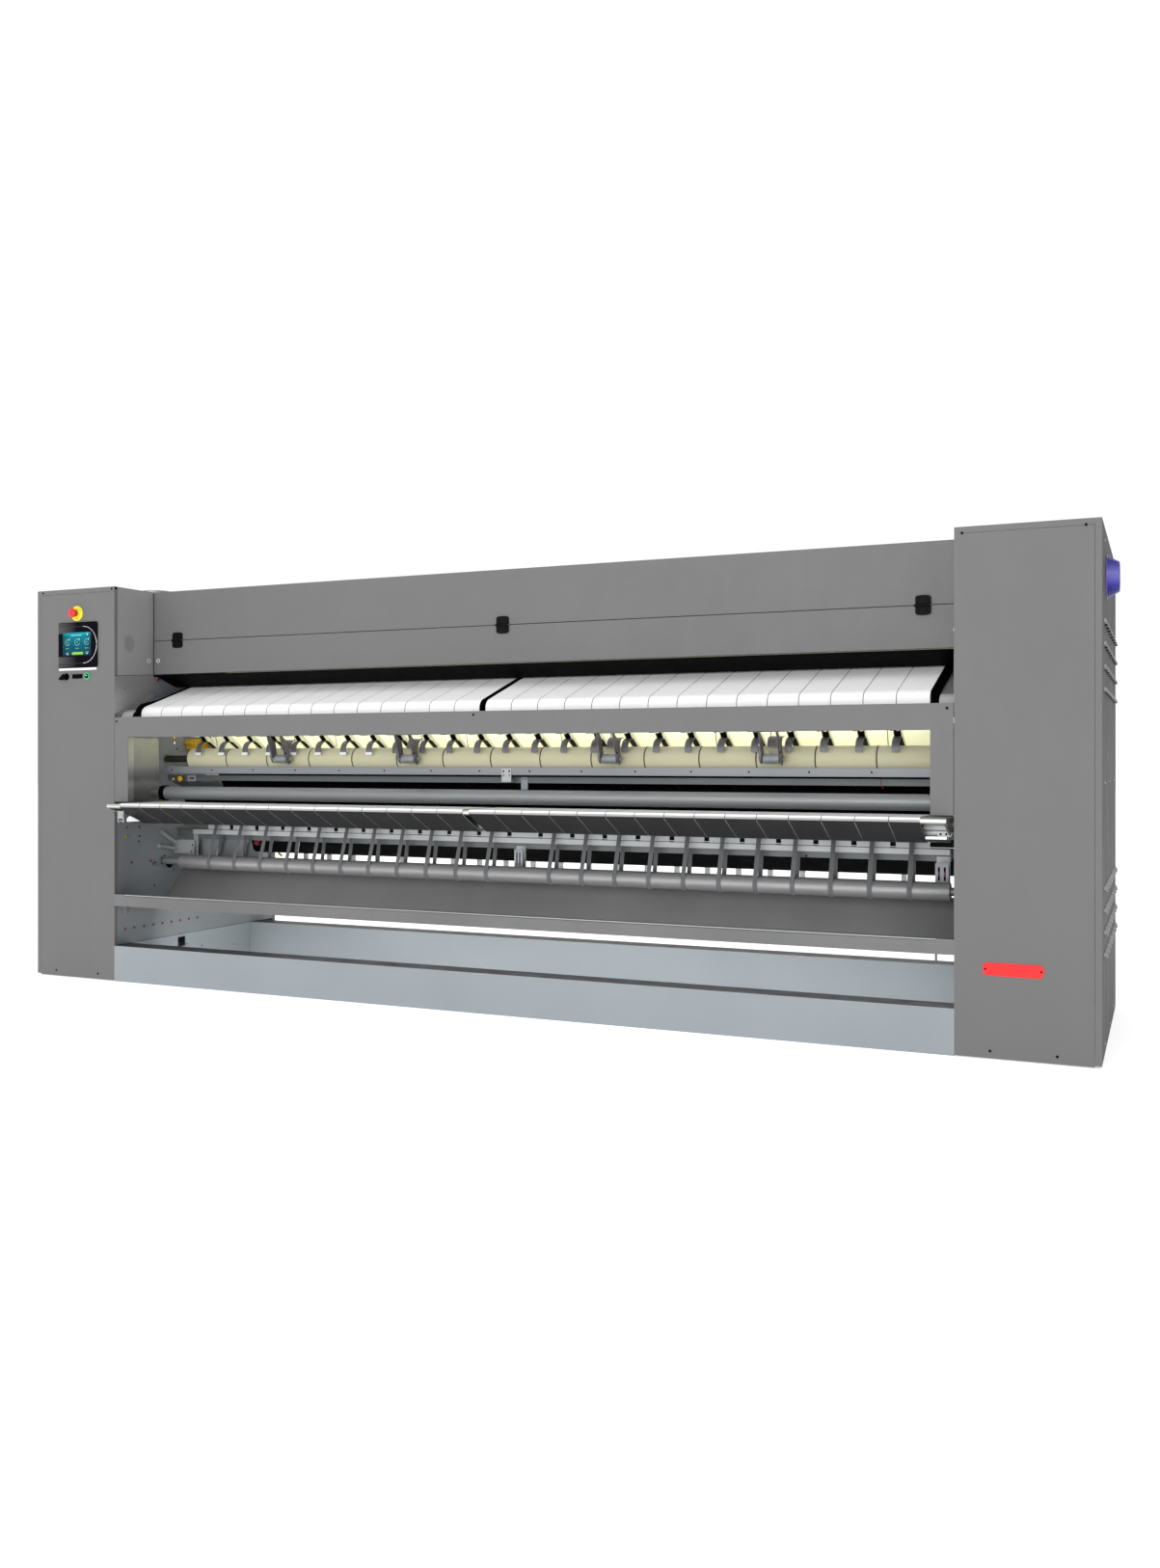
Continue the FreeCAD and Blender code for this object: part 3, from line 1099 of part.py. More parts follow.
# --------------------------------------------------------------------------------------
# Controls on the left column.
box_outer = box("control_cabinet_out", -2150, 120, 560, -1850, 330, 1160)
box_inner = box("control_cabinet_in", -2147, 123, 563, -1853, 327, 1157)
arm_low = box("control_cabinet_arm_low", -1850, 200, 600, -1769, 250, 606)
arm_high = box("control_cabinet_arm_high", -1850, 200, 1110, -1769, 250, 1116)
keep(fuse("control_cabinet_solid", [cut("control_cabinet_shape", box_outer, [box_inner]), arm_low, arm_high]), "control_cabinet")

hb = new_body("hmi_panel_body")
sk = sketch(hb, "XZ_Plane", "hmi_outline")
add_rect(sk, S.hmi_x - S.hmi_wide / 2, S.hmi_z - S.hmi_high / 2, S.hmi_x + S.hmi_wide / 2, S.hmi_z + S.hmi_high / 2)
pad(hb, sk, 6, "hmi_bezel")
sk = sketch(hb, "XZ_Plane", "hmi_back_outline")
add_rect(sk, S.hmi_x - S.hmi_wide / 2 + 17, S.hmi_z - S.hmi_high / 2 + 17, S.hmi_x + S.hmi_wide / 2 - 17, S.hmi_z + S.hmi_high / 2 - 17)
pad(hb, sk, 40, "hmi_back", reverse=True)
place(hb, 0, 0, 0)
keep(hb, "hmi_panel")

ring = cut("estop_ring_shape", cyl("estop_ring_disc", "Y", S.estop_x, -5, S.estop_z, S.estop_ring, 5),
           [cyl("estop_ring_hole", "Y", S.estop_x, -6, S.estop_z, 11, 8)])
sel_b = cut("selector_bezel_shape", cyl("selector_bezel_disc", "Y", S.select_x, -3, S.button_z, 13, 3),
            [cyl("selector_bezel_hole", "Y", S.select_x, -4, S.button_z, 8.06, 6)])
btn_b = cut("button_bezel_shape", cyl("button_bezel_disc", "Y", S.button_x, -5, S.button_z, 14, 5),
            [cyl("button_bezel_hole", "Y", S.button_x, -6, S.button_z, S.button_rad + 0.3, 8)])
usb = cut("usb_socket_shape", box("usb_block", S.usb_x - 28, -3, S.button_z - 10, S.usb_x + 28, 12, S.button_z + 10),
          [box("usb_slot", S.usb_x - 14, -4, S.button_z - 5, S.usb_x + 14, 8, S.button_z + 5),
           box("usb_shoulder_a", S.usb_x - 29, 0, S.button_z - 11, S.usb_x - 21, 13, S.button_z + 11),
           box("usb_shoulder_b", S.usb_x + 21, 0, S.button_z - 11, S.usb_x + 29, 13, S.button_z + 11),
           box("usb_shoulder_c", S.usb_x - 29, 0, S.button_z - 11, S.usb_x + 29, 13, S.button_z - 6.5),
           box("usb_shoulder_d", S.usb_x - 29, 0, S.button_z + 6.5, S.usb_x + 29, 13, S.button_z + 11)])
keep(group("control_bezels_group", [ring, sel_b, btn_b, usb]), "control_bezels")

head = Part.makeCone(13, VAL["estop_head"], 9, V(VAL["estop_x"], -17, VAL["estop_z"]), V(0, -1, 0))
cap = Part.makeCylinder(VAL["estop_head"], 12, V(VAL["estop_x"], -26, VAL["estop_z"]), V(0, -1, 0))
cap = cap.makeFillet(6, [e for e in cap.Edges if abs(e.BoundBox.YMin + 38) < 1e-6 and e.BoundBox.YLength < 1e-6])
stem = Part.makeCylinder(10.7, 37, V(VAL["estop_x"], -17, VAL["estop_z"]), V(0, 1, 0))
feature("estop_knob", head.fuse(cap).fuse(stem).removeSplitter())

btn = Part.makeCylinder(VAL["button_rad"], 28, V(VAL["button_x"], -8.5, VAL["button_z"]), V(0, 1, 0))
btn = btn.makeFillet(1.5, [e for e in btn.Edges if abs(e.BoundBox.YMin + 8.5) < 1e-6 and e.BoundBox.YLength < 1e-6])
feature("start_button", btn)

knob = Part.makeCylinder(10.5, 6, V(VAL["select_x"], -3.3, VAL["button_z"]), V(0, -1, 0))
grip = Part.makeBox(7, 14, 24, V(VAL["select_x"] - 3.5, -23, VAL["button_z"] - 10))
spindle = Part.makeCylinder(8, 26, V(VAL["select_x"], -3.3, VAL["button_z"]), V(0, 1, 0))
feature("selector_knob", knob.fuse(grip).fuse(spindle).removeSplitter())

# --------------------------------------------------------------------------------------
# Cover screws: domed heads, all alike, on the front, the inner faces and the hood ends.
def screw(x, y, z, axis, low=False):
    base = V(x, y, z)
    rim, dome = (0.8, 0.6) if low else (1.2, 1.0)
    h = Part.makeCylinder(4.5, rim, base, axis)
    d = Part.makeCone(4.5, 2.6, dome, base + axis * rim, axis)
    return h.fuse(d).removeSplitter()


F, IN = V(0, -1, 0), V(1, 0, 0)
screws = []
for x, z in ((-2168, 1690), (-1772, 1690), (-2090, 26), (-1850, 26), (1778, 1690), (2166, 1690), (1868, 26), (2070, 26),
             (-1745, 1118), (0, 1122), (1745, 1112)):
    screws.append(screw(x, 0, z, F))
for y, z in ((60, 1660), (215, 1640), (215, 1560), (210, 1430), (60, 1230), (150, 1260)):
    screws.append(screw(-VAL["inner_x"], y, z, IN, True))
    screws.append(screw(VAL["inner_x"], y, z, -IN, True))
for y in (200, 557, 915):
    for z in (40, 880, 1660):
        screws.append(screw(VAL["half_width"], y, z, IN))
        screws.append(screw(-VAL["half_width"], y, z, -IN))
for x in [-1700 + 219.3 * k for k in range(16)]:
    screws.append(screw(x + 5, 298, 908, F))
feature("panel_screws", Part.makeCompound(screws))

# ======================================================================================
doc.recompute()
bad = []
for obj in doc.Objects:
    if "Invalid" in obj.State or "Error" in obj.State:
        bad.append("%s state %s" % (obj.Name, obj.State))
low = V(1e9, 1e9, 1e9)
high = V(-1e9, -1e9, -1e9)
seen = set()
for label, obj in PARTS:
    s = obj.Shape
    if label in seen:
        bad.append("label used twice: " + label)
    seen.add(label)
    if s.isNull() or not s.isValid() or not s.Solids:
        bad.append("%s has no valid solid" % label)
        continue
    for solid in s.Solids:
        if solid.Volume <= 0:
            bad.append("%s has an inside-out solid" % label)
    bb = s.BoundBox
    low = V(min(low.x, bb.XMin), min(low.y, bb.YMin), min(low.z, bb.ZMin))
    high = V(max(high.x, bb.XMax), max(high.y, bb.YMax), max(high.z, bb.ZMax))
if len(PARTS) > 60:
    bad.append("%d files" % len(PARTS))
if bad:
    raise RuntimeError("; ".join(bad))
os.makedirs("parts", exist_ok=True)
for label, obj in PARTS:
    obj.Shape.exportStep("parts/%s.step" % label)
print("%d parts, box %.1f %.1f %.1f to %.1f %.1f %.1f" % (len(PARTS), low.x, low.y, low.z, high.x, high.y, high.z))
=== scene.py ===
import math
import random

import bpy
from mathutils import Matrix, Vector


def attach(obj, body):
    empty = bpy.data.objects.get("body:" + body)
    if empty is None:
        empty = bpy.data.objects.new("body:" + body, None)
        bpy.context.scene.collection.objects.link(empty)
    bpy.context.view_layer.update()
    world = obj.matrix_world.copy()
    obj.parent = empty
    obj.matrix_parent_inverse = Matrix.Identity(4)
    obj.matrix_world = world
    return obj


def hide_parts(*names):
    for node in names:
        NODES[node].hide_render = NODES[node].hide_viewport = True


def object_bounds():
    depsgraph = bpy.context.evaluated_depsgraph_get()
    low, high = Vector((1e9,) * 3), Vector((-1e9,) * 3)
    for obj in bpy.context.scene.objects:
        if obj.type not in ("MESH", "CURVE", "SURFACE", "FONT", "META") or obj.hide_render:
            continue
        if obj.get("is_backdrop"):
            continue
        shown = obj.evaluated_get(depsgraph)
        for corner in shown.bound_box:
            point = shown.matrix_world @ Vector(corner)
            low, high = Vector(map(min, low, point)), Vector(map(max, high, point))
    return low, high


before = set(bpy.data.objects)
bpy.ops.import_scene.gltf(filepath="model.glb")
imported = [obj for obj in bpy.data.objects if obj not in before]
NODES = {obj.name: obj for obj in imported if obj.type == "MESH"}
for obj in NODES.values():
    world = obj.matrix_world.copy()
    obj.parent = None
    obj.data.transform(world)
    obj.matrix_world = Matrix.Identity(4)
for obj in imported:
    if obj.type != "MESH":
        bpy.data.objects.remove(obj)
CAD_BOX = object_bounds()
FX, FY = 18.9, 529.5
rnd = random.Random(7)


def plain(v):
    """Numbers of a box as plain lists."""
    if isinstance(v, (int, float)):
        return round(float(v), 5)
    return [plain(x) for x in v]


# ---------------------------------------------------------------------------------------
# Materials. Object coordinates are metres in the common frame, so every scale is real.

class Mat:
    def __init__(self, name):
        self.m = bpy.data.materials.new(name)
        self.m.use_nodes = True
        self.nt = self.m.node_tree
        self.b = self.nt.nodes["Principled BSDF"]
        self.co = self.nt.nodes.new("ShaderNodeTexCoord").outputs["Object"]

    def new(self, kind, **inputs):
        n = self.nt.nodes.new(kind)
        for k, v in inputs.items():
            if k in n.inputs:
                n.inputs[k].default_value = v
            else:
                setattr(n, k, v)
        return n

    def link(self, a, b):
        self.nt.links.new(a, b)

    def mapped(self, scale, rot=(0, 0, 0)):
        n = self.nt.nodes.new("ShaderNodeMapping")
        n.inputs["Scale"].default_value = scale
        n.inputs["Rotation"].default_value = rot
        self.link(self.co, n.inputs["Vector"])
        return n.outputs["Vector"]

    def noise(self, scale, detail=3.0, rough=0.55, vec=None, distortion=0.0):
        n = self.nt.nodes.new("ShaderNodeTexNoise")
        n.inputs["Scale"].default_value = scale
        n.inputs["Detail"].default_value = detail
        n.inputs["Roughness"].default_value = rough
        n.inputs["Distortion"].default_value = distortion
        self.link(vec if vec is not None else self.co, n.inputs["Vector"])
        return n.outputs["Fac"]

    def ramp(self, fac, stops):
        n = self.nt.nodes.new("ShaderNodeValToRGB")
        cr = n.color_ramp
        while len(cr.elements) < len(stops):
            cr.elements.new(0.5)
        for e, (p, c) in zip(cr.elements, stops):
            e.position = p
            e.color = (c, c, c, 1) if isinstance(c, (int, float)) else (*c, 1)
        self.link(fac, n.inputs["Fac"])
        return n.outputs["Color"]

    def span(self, fac, a, b, c, d):
        n = self.nt.nodes.new("ShaderNodeMapRange")
        n.inputs["From Min"].default_value = a
        n.inputs["From Max"].default_value = b
        n.inputs["To Min"].default_value = c
        n.inputs["To Max"].default_value = d
        self.link(fac, n.inputs["Value"])
        return n.outputs["Result"]

    def math(self, op, a, b=None, clamp=False):
        n = self.nt.nodes.new("ShaderNodeMath")
        n.operation = op
        n.use_clamp = clamp
        for i, v in enumerate((a, b)):
            if v is None:
                continue
            if isinstance(v, (int, float)):
                n.inputs[i].default_value = v
            else:
                self.link(v, n.inputs[i])
        return n.outputs[0]

    def mix(self, fac, a, b, kind="MIX"):
        n = self.nt.nodes.new("ShaderNodeMix")
        n.data_type = "RGBA"
        n.blend_type = kind
        n.clamp_result = True
        for sock, v in ((n.inputs[0], fac), (n.inputs[6], a), (n.inputs[7], b)):
            if isinstance(v, (int, float)):
                sock.default_value = v
            elif isinstance(v, tuple):
                sock.default_value = (*v, 1) if len(v) == 3 else v
            else:
                self.link(v, sock)
        return n.outputs[2]

    def bump(self, height, strength, distance):
        n = self.nt.nodes.new("ShaderNodeBump")
        n.inputs["Strength"].default_value = strength
        n.inputs["Distance"].default_value = distance
        self.link(height, n.inputs["Height"])
        if self.b.inputs["Normal"].is_linked:
            self.link(self.b.inputs["Normal"].links[0].from_socket, n.inputs["Normal"])
        self.link(n.outputs["Normal"], self.b.inputs["Normal"])

    def edges(self, radius=0.0015):
        """Mask that is 1 along convex and concave edges."""
        bev = self.new("ShaderNodeBevel", samples=4)
        bev.inputs["Radius"].default_value = radius
        geo = self.nt.nodes.new("ShaderNodeNewGeometry")
        dot = self.nt.nodes.new("ShaderNodeVectorMath")
        dot.operation = "DOT_PRODUCT"
        self.link(bev.outputs["Normal"], dot.inputs[0])
        self.link(geo.outputs["Normal"], dot.inputs[1])
        return self.span(dot.outputs["Value"], 0.98, 0.80, 0.0, 1.0)

    def cavity(self, distance=0.04):
        ao = self.new("ShaderNodeAmbientOcclusion", samples=4)
        ao.inputs["Distance"].default_value = distance
        return ao.outputs["AO"]


def paint(name, color, rough=0.55, var=0.05, peel=0.35, wear=0.25, crevice_shade=0.0, speck=0.0, spec=0.35):
    """Powder-coated sheet: orange peel, slight cloudiness, rubbed edges."""
    m = Mat(name)
    cloud = m.noise(2.2, 4, 0.5)
    fine = m.noise(900, 2, 0.6)
    c = tuple(color)
    lo = tuple(v * (1 - var) for v in c)
    hi = tuple(min(1, v * (1 + var)) for v in c)
    col = m.ramp(cloud, [(0.3, lo), (0.7, hi)])
    if speck:
        s = m.noise(260, 3, 0.7)
        col = m.mix(m.span(s, 0.56, 0.70, 0.0, speck), col, tuple(min(1, v * 1.8) for v in c))
    if wear:
        col = m.mix(m.math("MULTIPLY", m.edges(), wear), col, tuple(min(1, v * 1.7 + 0.03) for v in c))
    # painted shade: ambient occlusion darkens creases, corners and recesses towards a third of the colour
    if crevice_shade:
        ao = m.cavity()
        col = m.mix(m.span(ao, 0.2, 0.9, crevice_shade, 0.0), col, tuple(v * 0.35 for v in c))
    m.link(col, m.b.inputs["Base Color"])
    smear = m.noise(14, 5, 0.6, vec=m.mapped((1, 1, 0.35)))
    m.link(m.span(smear, 0.3, 0.7, rough - 0.06, rough + 0.08), m.b.inputs["Roughness"])
    m.b.inputs["Specular IOR Level"].default_value = spec
    m.bump(fine, peel, 0.0003)
    return m.m


def metal(name, color, rough=0.3, along=(4, 380, 380), streak=0.10, metallic=1.0, fine=0.15, blotch=0.0,
          wear=0.0, aniso=0.0):
    """Drawn, ground or galvanised steel; the grain runs along the axis with the small scale."""
    m = Mat(name)
    grain = m.noise(1.0, 4, 0.6, vec=m.mapped(along))
    cloud = m.noise(5, 3, 0.5)
    c = tuple(color)
    col = m.mix(m.span(grain, 0.3, 0.7, 0.0, 1.0), tuple(v * (1 - streak) for v in c),
                tuple(min(1, v * (1 + streak)) for v in c))
    if blotch:
        vor = m.new("ShaderNodeTexVoronoi")
        vor.inputs["Scale"].default_value = 90
        m.link(m.co, vor.inputs["Vector"])
        col = m.mix(m.span(vor.outputs["Color"], 0.2, 0.8, 0.0, blotch), col, tuple(min(1, v * 1.35) for v in c))
    if wear:
        col = m.mix(m.math("MULTIPLY", m.edges(0.001), wear), col, tuple(min(1, v * 1.5 + 0.05) for v in c))
    m.link(col, m.b.inputs["Base Color"])
    m.b.inputs["Metallic"].default_value = metallic
    r = m.math("ADD", m.span(grain, 0.3, 0.7, rough * 0.8, rough * 1.2), m.span(cloud, 0.3, 0.7, -0.03, 0.05), True)
    m.link(r, m.b.inputs["Roughness"])
    if aniso:
        m.b.inputs["Anisotropic"].default_value = aniso
    m.bump(grain, fine, 0.0002)
    return m.m


def plastic(name, color, rough=0.3, coat=0.0, grain=0.15, spec=0.5, emit=0.0, var=0.06):
    m = Mat(name)
    c = tuple(color)
    cloud = m.noise(40, 3, 0.5)
    col = m.ramp(cloud, [(0.3, tuple(v * (1 - var) for v in c)), (0.7, tuple(min(1, v * (1 + var)) for v in c))])
    m.link(col, m.b.inputs["Base Color"])
    m.link(m.span(m.noise(120, 3, 0.6), 0.3, 0.7, max(0.02, rough - 0.05), rough + 0.07), m.b.inputs["Roughness"])
    m.b.inputs["Coat Weight"].default_value = coat
    m.b.inputs["Coat Roughness"].default_value = 0.05
    m.b.inputs["Specular IOR Level"].default_value = spec
    if emit:
        m.link(col, m.b.inputs["Emission Color"])
        m.b.inputs["Emission Strength"].default_value = emit
    m.bump(m.noise(1500, 2, 0.5), grain, 0.0001)
    return m.m


def woven(name, color, pitch=0.0016, rough=0.85, belt_pitch=0.2, belt_zero=0.0, belt_var=0.03, fuzz=0.2,
          sheen=0.2, soil=0.05, far_run_light=None):
    """Flat belt cloth: plain weave, each belt a touch lighter or darker, faint soiling."""
    m = Mat(name)
    c = tuple(color)
    sep = m.nt.nodes.new("ShaderNodeSeparateXYZ")
    m.link(m.co, sep.inputs[0])
    k = m.math("FLOOR", m.math("DIVIDE", m.math("SUBTRACT", sep.outputs["X"], belt_zero), belt_pitch))
    wn = m.nt.nodes.new("ShaderNodeTexWhiteNoise")
    wn.noise_dimensions = "1D"
    m.link(k, wn.inputs["W"])
    col = m.mix(wn.outputs["Value"], tuple(v * (1 - belt_var) for v in c), c)
    stain = m.noise(3.5, 5, 0.6, vec=m.mapped((0.5, 1.6, 1.6)))
    col = m.mix(m.span(stain, 0.48, 0.75, 0.0, soil), col, tuple(v * 0.75 for v in c))
    if far_run_light:
        # painted light: past about 400 mm deep the cloth takes this much lighter colour and a glow, while the run over
        # the exit roller keeps the darker base colour; lit and shaded copies of one cloth
        part = m.span(sep.outputs["Y"], -0.135, -0.115, 0.0, 1.0)
        col = m.mix(part, col, far_run_light)
        m.b.inputs["Emission Color"].default_value = (*far_run_light, 1)
        m.link(m.math("MULTIPLY", part, 0.20), m.b.inputs["Emission Strength"])
    # weave: warp along the belt, weft across it
    w = 1.0 / pitch
    wx = m.nt.nodes.new("ShaderNodeTexWave")
    wx.bands_direction = "X"
    wx.inputs["Scale"].default_value = w / 20 * 2 * math.pi / 2
    m.link(m.co, wx.inputs["Vector"])
    wy = m.nt.nodes.new("ShaderNodeTexWave")
    wy.bands_direction = "DIAGONAL"
    wy.inputs["Scale"].default_value = w / 20 * 2 * math.pi / 2
    m.link(m.mapped((0, 1, 1)), wy.inputs["Vector"])
    h = m.math("MAXIMUM", wx.outputs["Fac"], wy.outputs["Fac"])
    col = m.mix(m.span(h, 0.0, 1.0, 0.10, 0.0), col, tuple(v * 0.7 for v in c))
    m.link(col, m.b.inputs["Base Color"])
    m.b.inputs["Roughness"].default_value = rough
    m.b.inputs["Sheen Weight"].default_value = sheen
    m.b.inputs["Specular IOR Level"].default_value = 0.2
    m.bump(h, 0.5, 0.0003)
    m.bump(m.noise(700, 3, 0.7), fuzz, 0.0003)
    return m.m


M = {}
M["cover_paint"] = paint("cover_paint", (0.140, 0.140, 0.140), 0.6, 0.025, 0.35, 0.25, spec=0.2)
M["side_paint"] = paint("side_paint", (0.140, 0.140, 0.140), 0.6, 0.025, 0.35, 0.25, spec=0.2)
M["hood_paint"] = paint("hood_paint", (0.134, 0.134, 0.134), 0.48, 0.035, 0.45, 0.25, speck=0.18, spec=0.22)
# inner_paint and frame_paint darken in their creases: painted shade from ambient occlusion
M["inner_paint"] = paint("inner_paint", (0.270, 0.270, 0.270), 0.50, 0.08, 0.35, 0.2, crevice_shade=0.3, spec=0.25)
M["frame_paint"] = paint("frame_paint", (0.19, 0.207, 0.218), 0.5, 0.06, 0.35, 0.2, crevice_shade=0.2, spec=0.25)
M["base_paint"] = paint("base_paint", (0.255, 0.282, 0.302), 0.5, 0.04, 0.35, 0.25, spec=0.2)
def facing_shade(m, k, axis="Z"):
    """Painted shade: darken faces that look along an axis."""
    nt = m.node_tree
    b = nt.nodes["Principled BSDF"]
    src = b.inputs["Base Color"].links[0].from_socket
    geo = nt.nodes.new("ShaderNodeNewGeometry")
    sep = nt.nodes.new("ShaderNodeSeparateXYZ")
    nt.links.new(geo.outputs["Normal"], sep.inputs[0])
    mr = nt.nodes.new("ShaderNodeMapRange")
    mr.inputs["From Min"].default_value = 0.8
    mr.inputs["From Max"].default_value = 0.97
    ab = nt.nodes.new("ShaderNodeMath")
    ab.operation = "ABSOLUTE" if axis == "X" else "ADD"
    ab.inputs[1].default_value = 0.0
    nt.links.new(sep.outputs[axis], ab.inputs[0])
    nt.links.new(ab.outputs[0], mr.inputs["Value"])
    mx = nt.nodes.new("ShaderNodeMix")
    mx.data_type = "RGBA"
    mx.blend_type = "MULTIPLY"
    nt.links.new(mr.outputs["Result"], mx.inputs[0])
    nt.links.new(src, mx.inputs[6])
    mx.inputs[7].default_value = (k, k, k, 1)
    nt.links.new(mx.outputs[2], b.inputs["Base Color"])


# painted shade: upward faces of the base beams drop to a fifth of the colour, side-cover faces looking along X to about
# two fifths
facing_shade(M["base_paint"], 0.20)
facing_shade(M["side_paint"], 0.41, "X")
# painted light: the scoops and their front nubs are lighter copies of the cover paint
M["nub_painted_highlight"] = paint("nub_painted_highlight", (0.42, 0.42, 0.42), 0.5, 0.03, 0.35, 0.0, spec=0.25)
M["scoop_lit_copy"] = paint("scoop_lit_copy", (0.20, 0.20, 0.20), 0.5, 0.03, 0.35, 0.3, spec=0.25)
M["cap_paint"] = paint("cap_paint", (0.31, 0.31, 0.305), 0.5, 0.06, 0.35, 0.2, spec=0.2)
M["tray_paint"] = paint("tray_paint", (0.118, 0.118, 0.118), 0.34, 0.14, 0.6, 0.25, speck=0.2, spec=0.5)
M["black_paint"] = paint("black_paint", (0.0018, 0.0018, 0.0022), 0.6, 0.2, 0.4, 0.05, spec=0.03)
M["black_hinge"] = plastic("black_hinge", (0.0022, 0.0022, 0.0026), 0.55, grain=0.5, spec=0.08)
M["stainless"] = metal("stainless", (0.60, 0.60, 0.57), 0.30, (3, 400, 400), 0.06)
M["trim_steel"] = metal("trim_steel", (0.50, 0.50, 0.46), 0.28, (300, 300, 4), 0.10, fine=0.3)
M["bar_steel"] = metal("bar_steel", (0.188, 0.201, 0.214), 0.5, (2, 300, 300), 0.06, metallic=0.2)
M["bar_dark"] = metal("bar_dark", (0.076, 0.081, 0.084), 0.5, (2, 300, 300), 0.06, metallic=0.2)
M["beam_grey"] = metal("beam_grey", (0.098, 0.104, 0.107), 0.5, (2, 200, 200), 0.05, metallic=0.15)
M["plate_steel"] = metal("plate_steel", (0.35, 0.365, 0.37), 0.5, (60, 60, 60), 0.05, metallic=0.2, blotch=0.10)
# light grey for painted glints along the gaps of the delivery belts
M["gap_glint_light"] = metal("gap_glint_light", (0.26, 0.26, 0.26), 0.5, (60, 60, 60), 0.05, metallic=0.2)
M["zinc_steel"] = metal("zinc_steel", (0.30, 0.315, 0.32), 0.45, (60, 60, 60), 0.06, metallic=0.4, blotch=0.12, wear=0.2)
M["polished_steel"] = metal("polished_steel", (0.30, 0.305, 0.31), 0.30, (2, 500, 500), 0.05)
M["roller_grey"] = metal("roller_grey", (0.17, 0.17, 0.173), 0.46, (2, 500, 500), 0.05, metallic=0.3)
M["tube_steel"] = metal("tube_steel", (0.210, 0.222, 0.228), 0.42, (2, 400, 400), 0.05, metallic=0.35)
M["roller_steel"] = metal("roller_steel", (0.24, 0.25, 0.26), 0.38, (2, 400, 400), 0.08)
M["finger"] = metal("finger", (0.125, 0.118, 0.128), 0.45, (200, 30, 30), 0.08, metallic=0.4, wear=0.2)
M["guide_grey"] = metal("guide_grey", (0.115, 0.110, 0.115), 0.45, (60, 60, 60), 0.06, metallic=0.3, wear=0.2)
M["finger_black"] = paint("finger_black", (0.003, 0.003, 0.003), 0.5, 0.2, 0.4, 0.05, spec=0.08)
M["lip_white"] = metal("lip_white", (0.90, 0.90, 0.90), 0.12, (300, 20, 20), 0.03)
M["feed_belt"] = woven("feed_belt", (0.86, 0.86, 0.86), belt_pitch=0.1109, belt_zero=-1.6979, belt_var=0.04)
M["table_belt"] = woven("table_belt", (0.50, 0.50, 0.51), belt_pitch=0.1109, belt_zero=-1.6979, belt_var=0.05)
# ironing belts: the darker near run and the lighter glowing far run are painted light
M["iron_belt"] = woven("iron_belt", (0.43, 0.415, 0.285), 0.0022, 0.9, 0.2188, -1.6309, 0.04, fuzz=0.45, sheen=0.35, soil=0.12,
                       far_run_light=(0.93, 0.925, 0.68))
M["cylinder_cloth"] = woven("cylinder_cloth", (0.93, 0.925, 0.68), 0.0022, 0.9, 0.2188, -1.6309, 0.03, fuzz=0.45, sheen=0.2, soil=0.04)


def cloth_seams(m, pitch, zero, width, painted_glow):
    """Dark joints between the cloths, and a painted glow (emission) that lightens the cloth inside the hood."""
    nt = m.node_tree
    b = nt.nodes["Principled BSDF"]
    src = b.inputs["Base Color"].links[0].from_socket
    tc = nt.nodes.new("ShaderNodeTexCoord")
    sep = nt.nodes.new("ShaderNodeSeparateXYZ")
    nt.links.new(tc.outputs["Object"], sep.inputs[0])
    last = sep.outputs["X"]
    for op, v in (("SUBTRACT", zero), ("DIVIDE", pitch), ("FRACT", 0.0), ("LESS_THAN", width / pitch)):
        n = nt.nodes.new("ShaderNodeMath")
        n.operation = op
        n.inputs[1].default_value = v
        nt.links.new(last, n.inputs[0])
        last = n.outputs[0]
    mx = nt.nodes.new("ShaderNodeMix")
    mx.data_type = "RGBA"
    nt.links.new(last, mx.inputs[0])
    nt.links.new(src, mx.inputs[6])
    mx.inputs[7].default_value = (0.10, 0.09, 0.05, 1)
    nt.links.new(mx.outputs[2], b.inputs["Base Color"])
    nt.links.new(mx.outputs[2], b.inputs["Emission Color"])
    b.inputs["Emission Strength"].default_value = painted_glow


# the cylinder cloth glows a little: painted light
cloth_seams(M["cylinder_cloth"], 0.2188, -1.6333, 0.0035, 0.10)
M["tape"] = woven("tape", (0.082, 0.085, 0.088), 0.0012, 0.8, 0.1386, -1.572, 0.1)



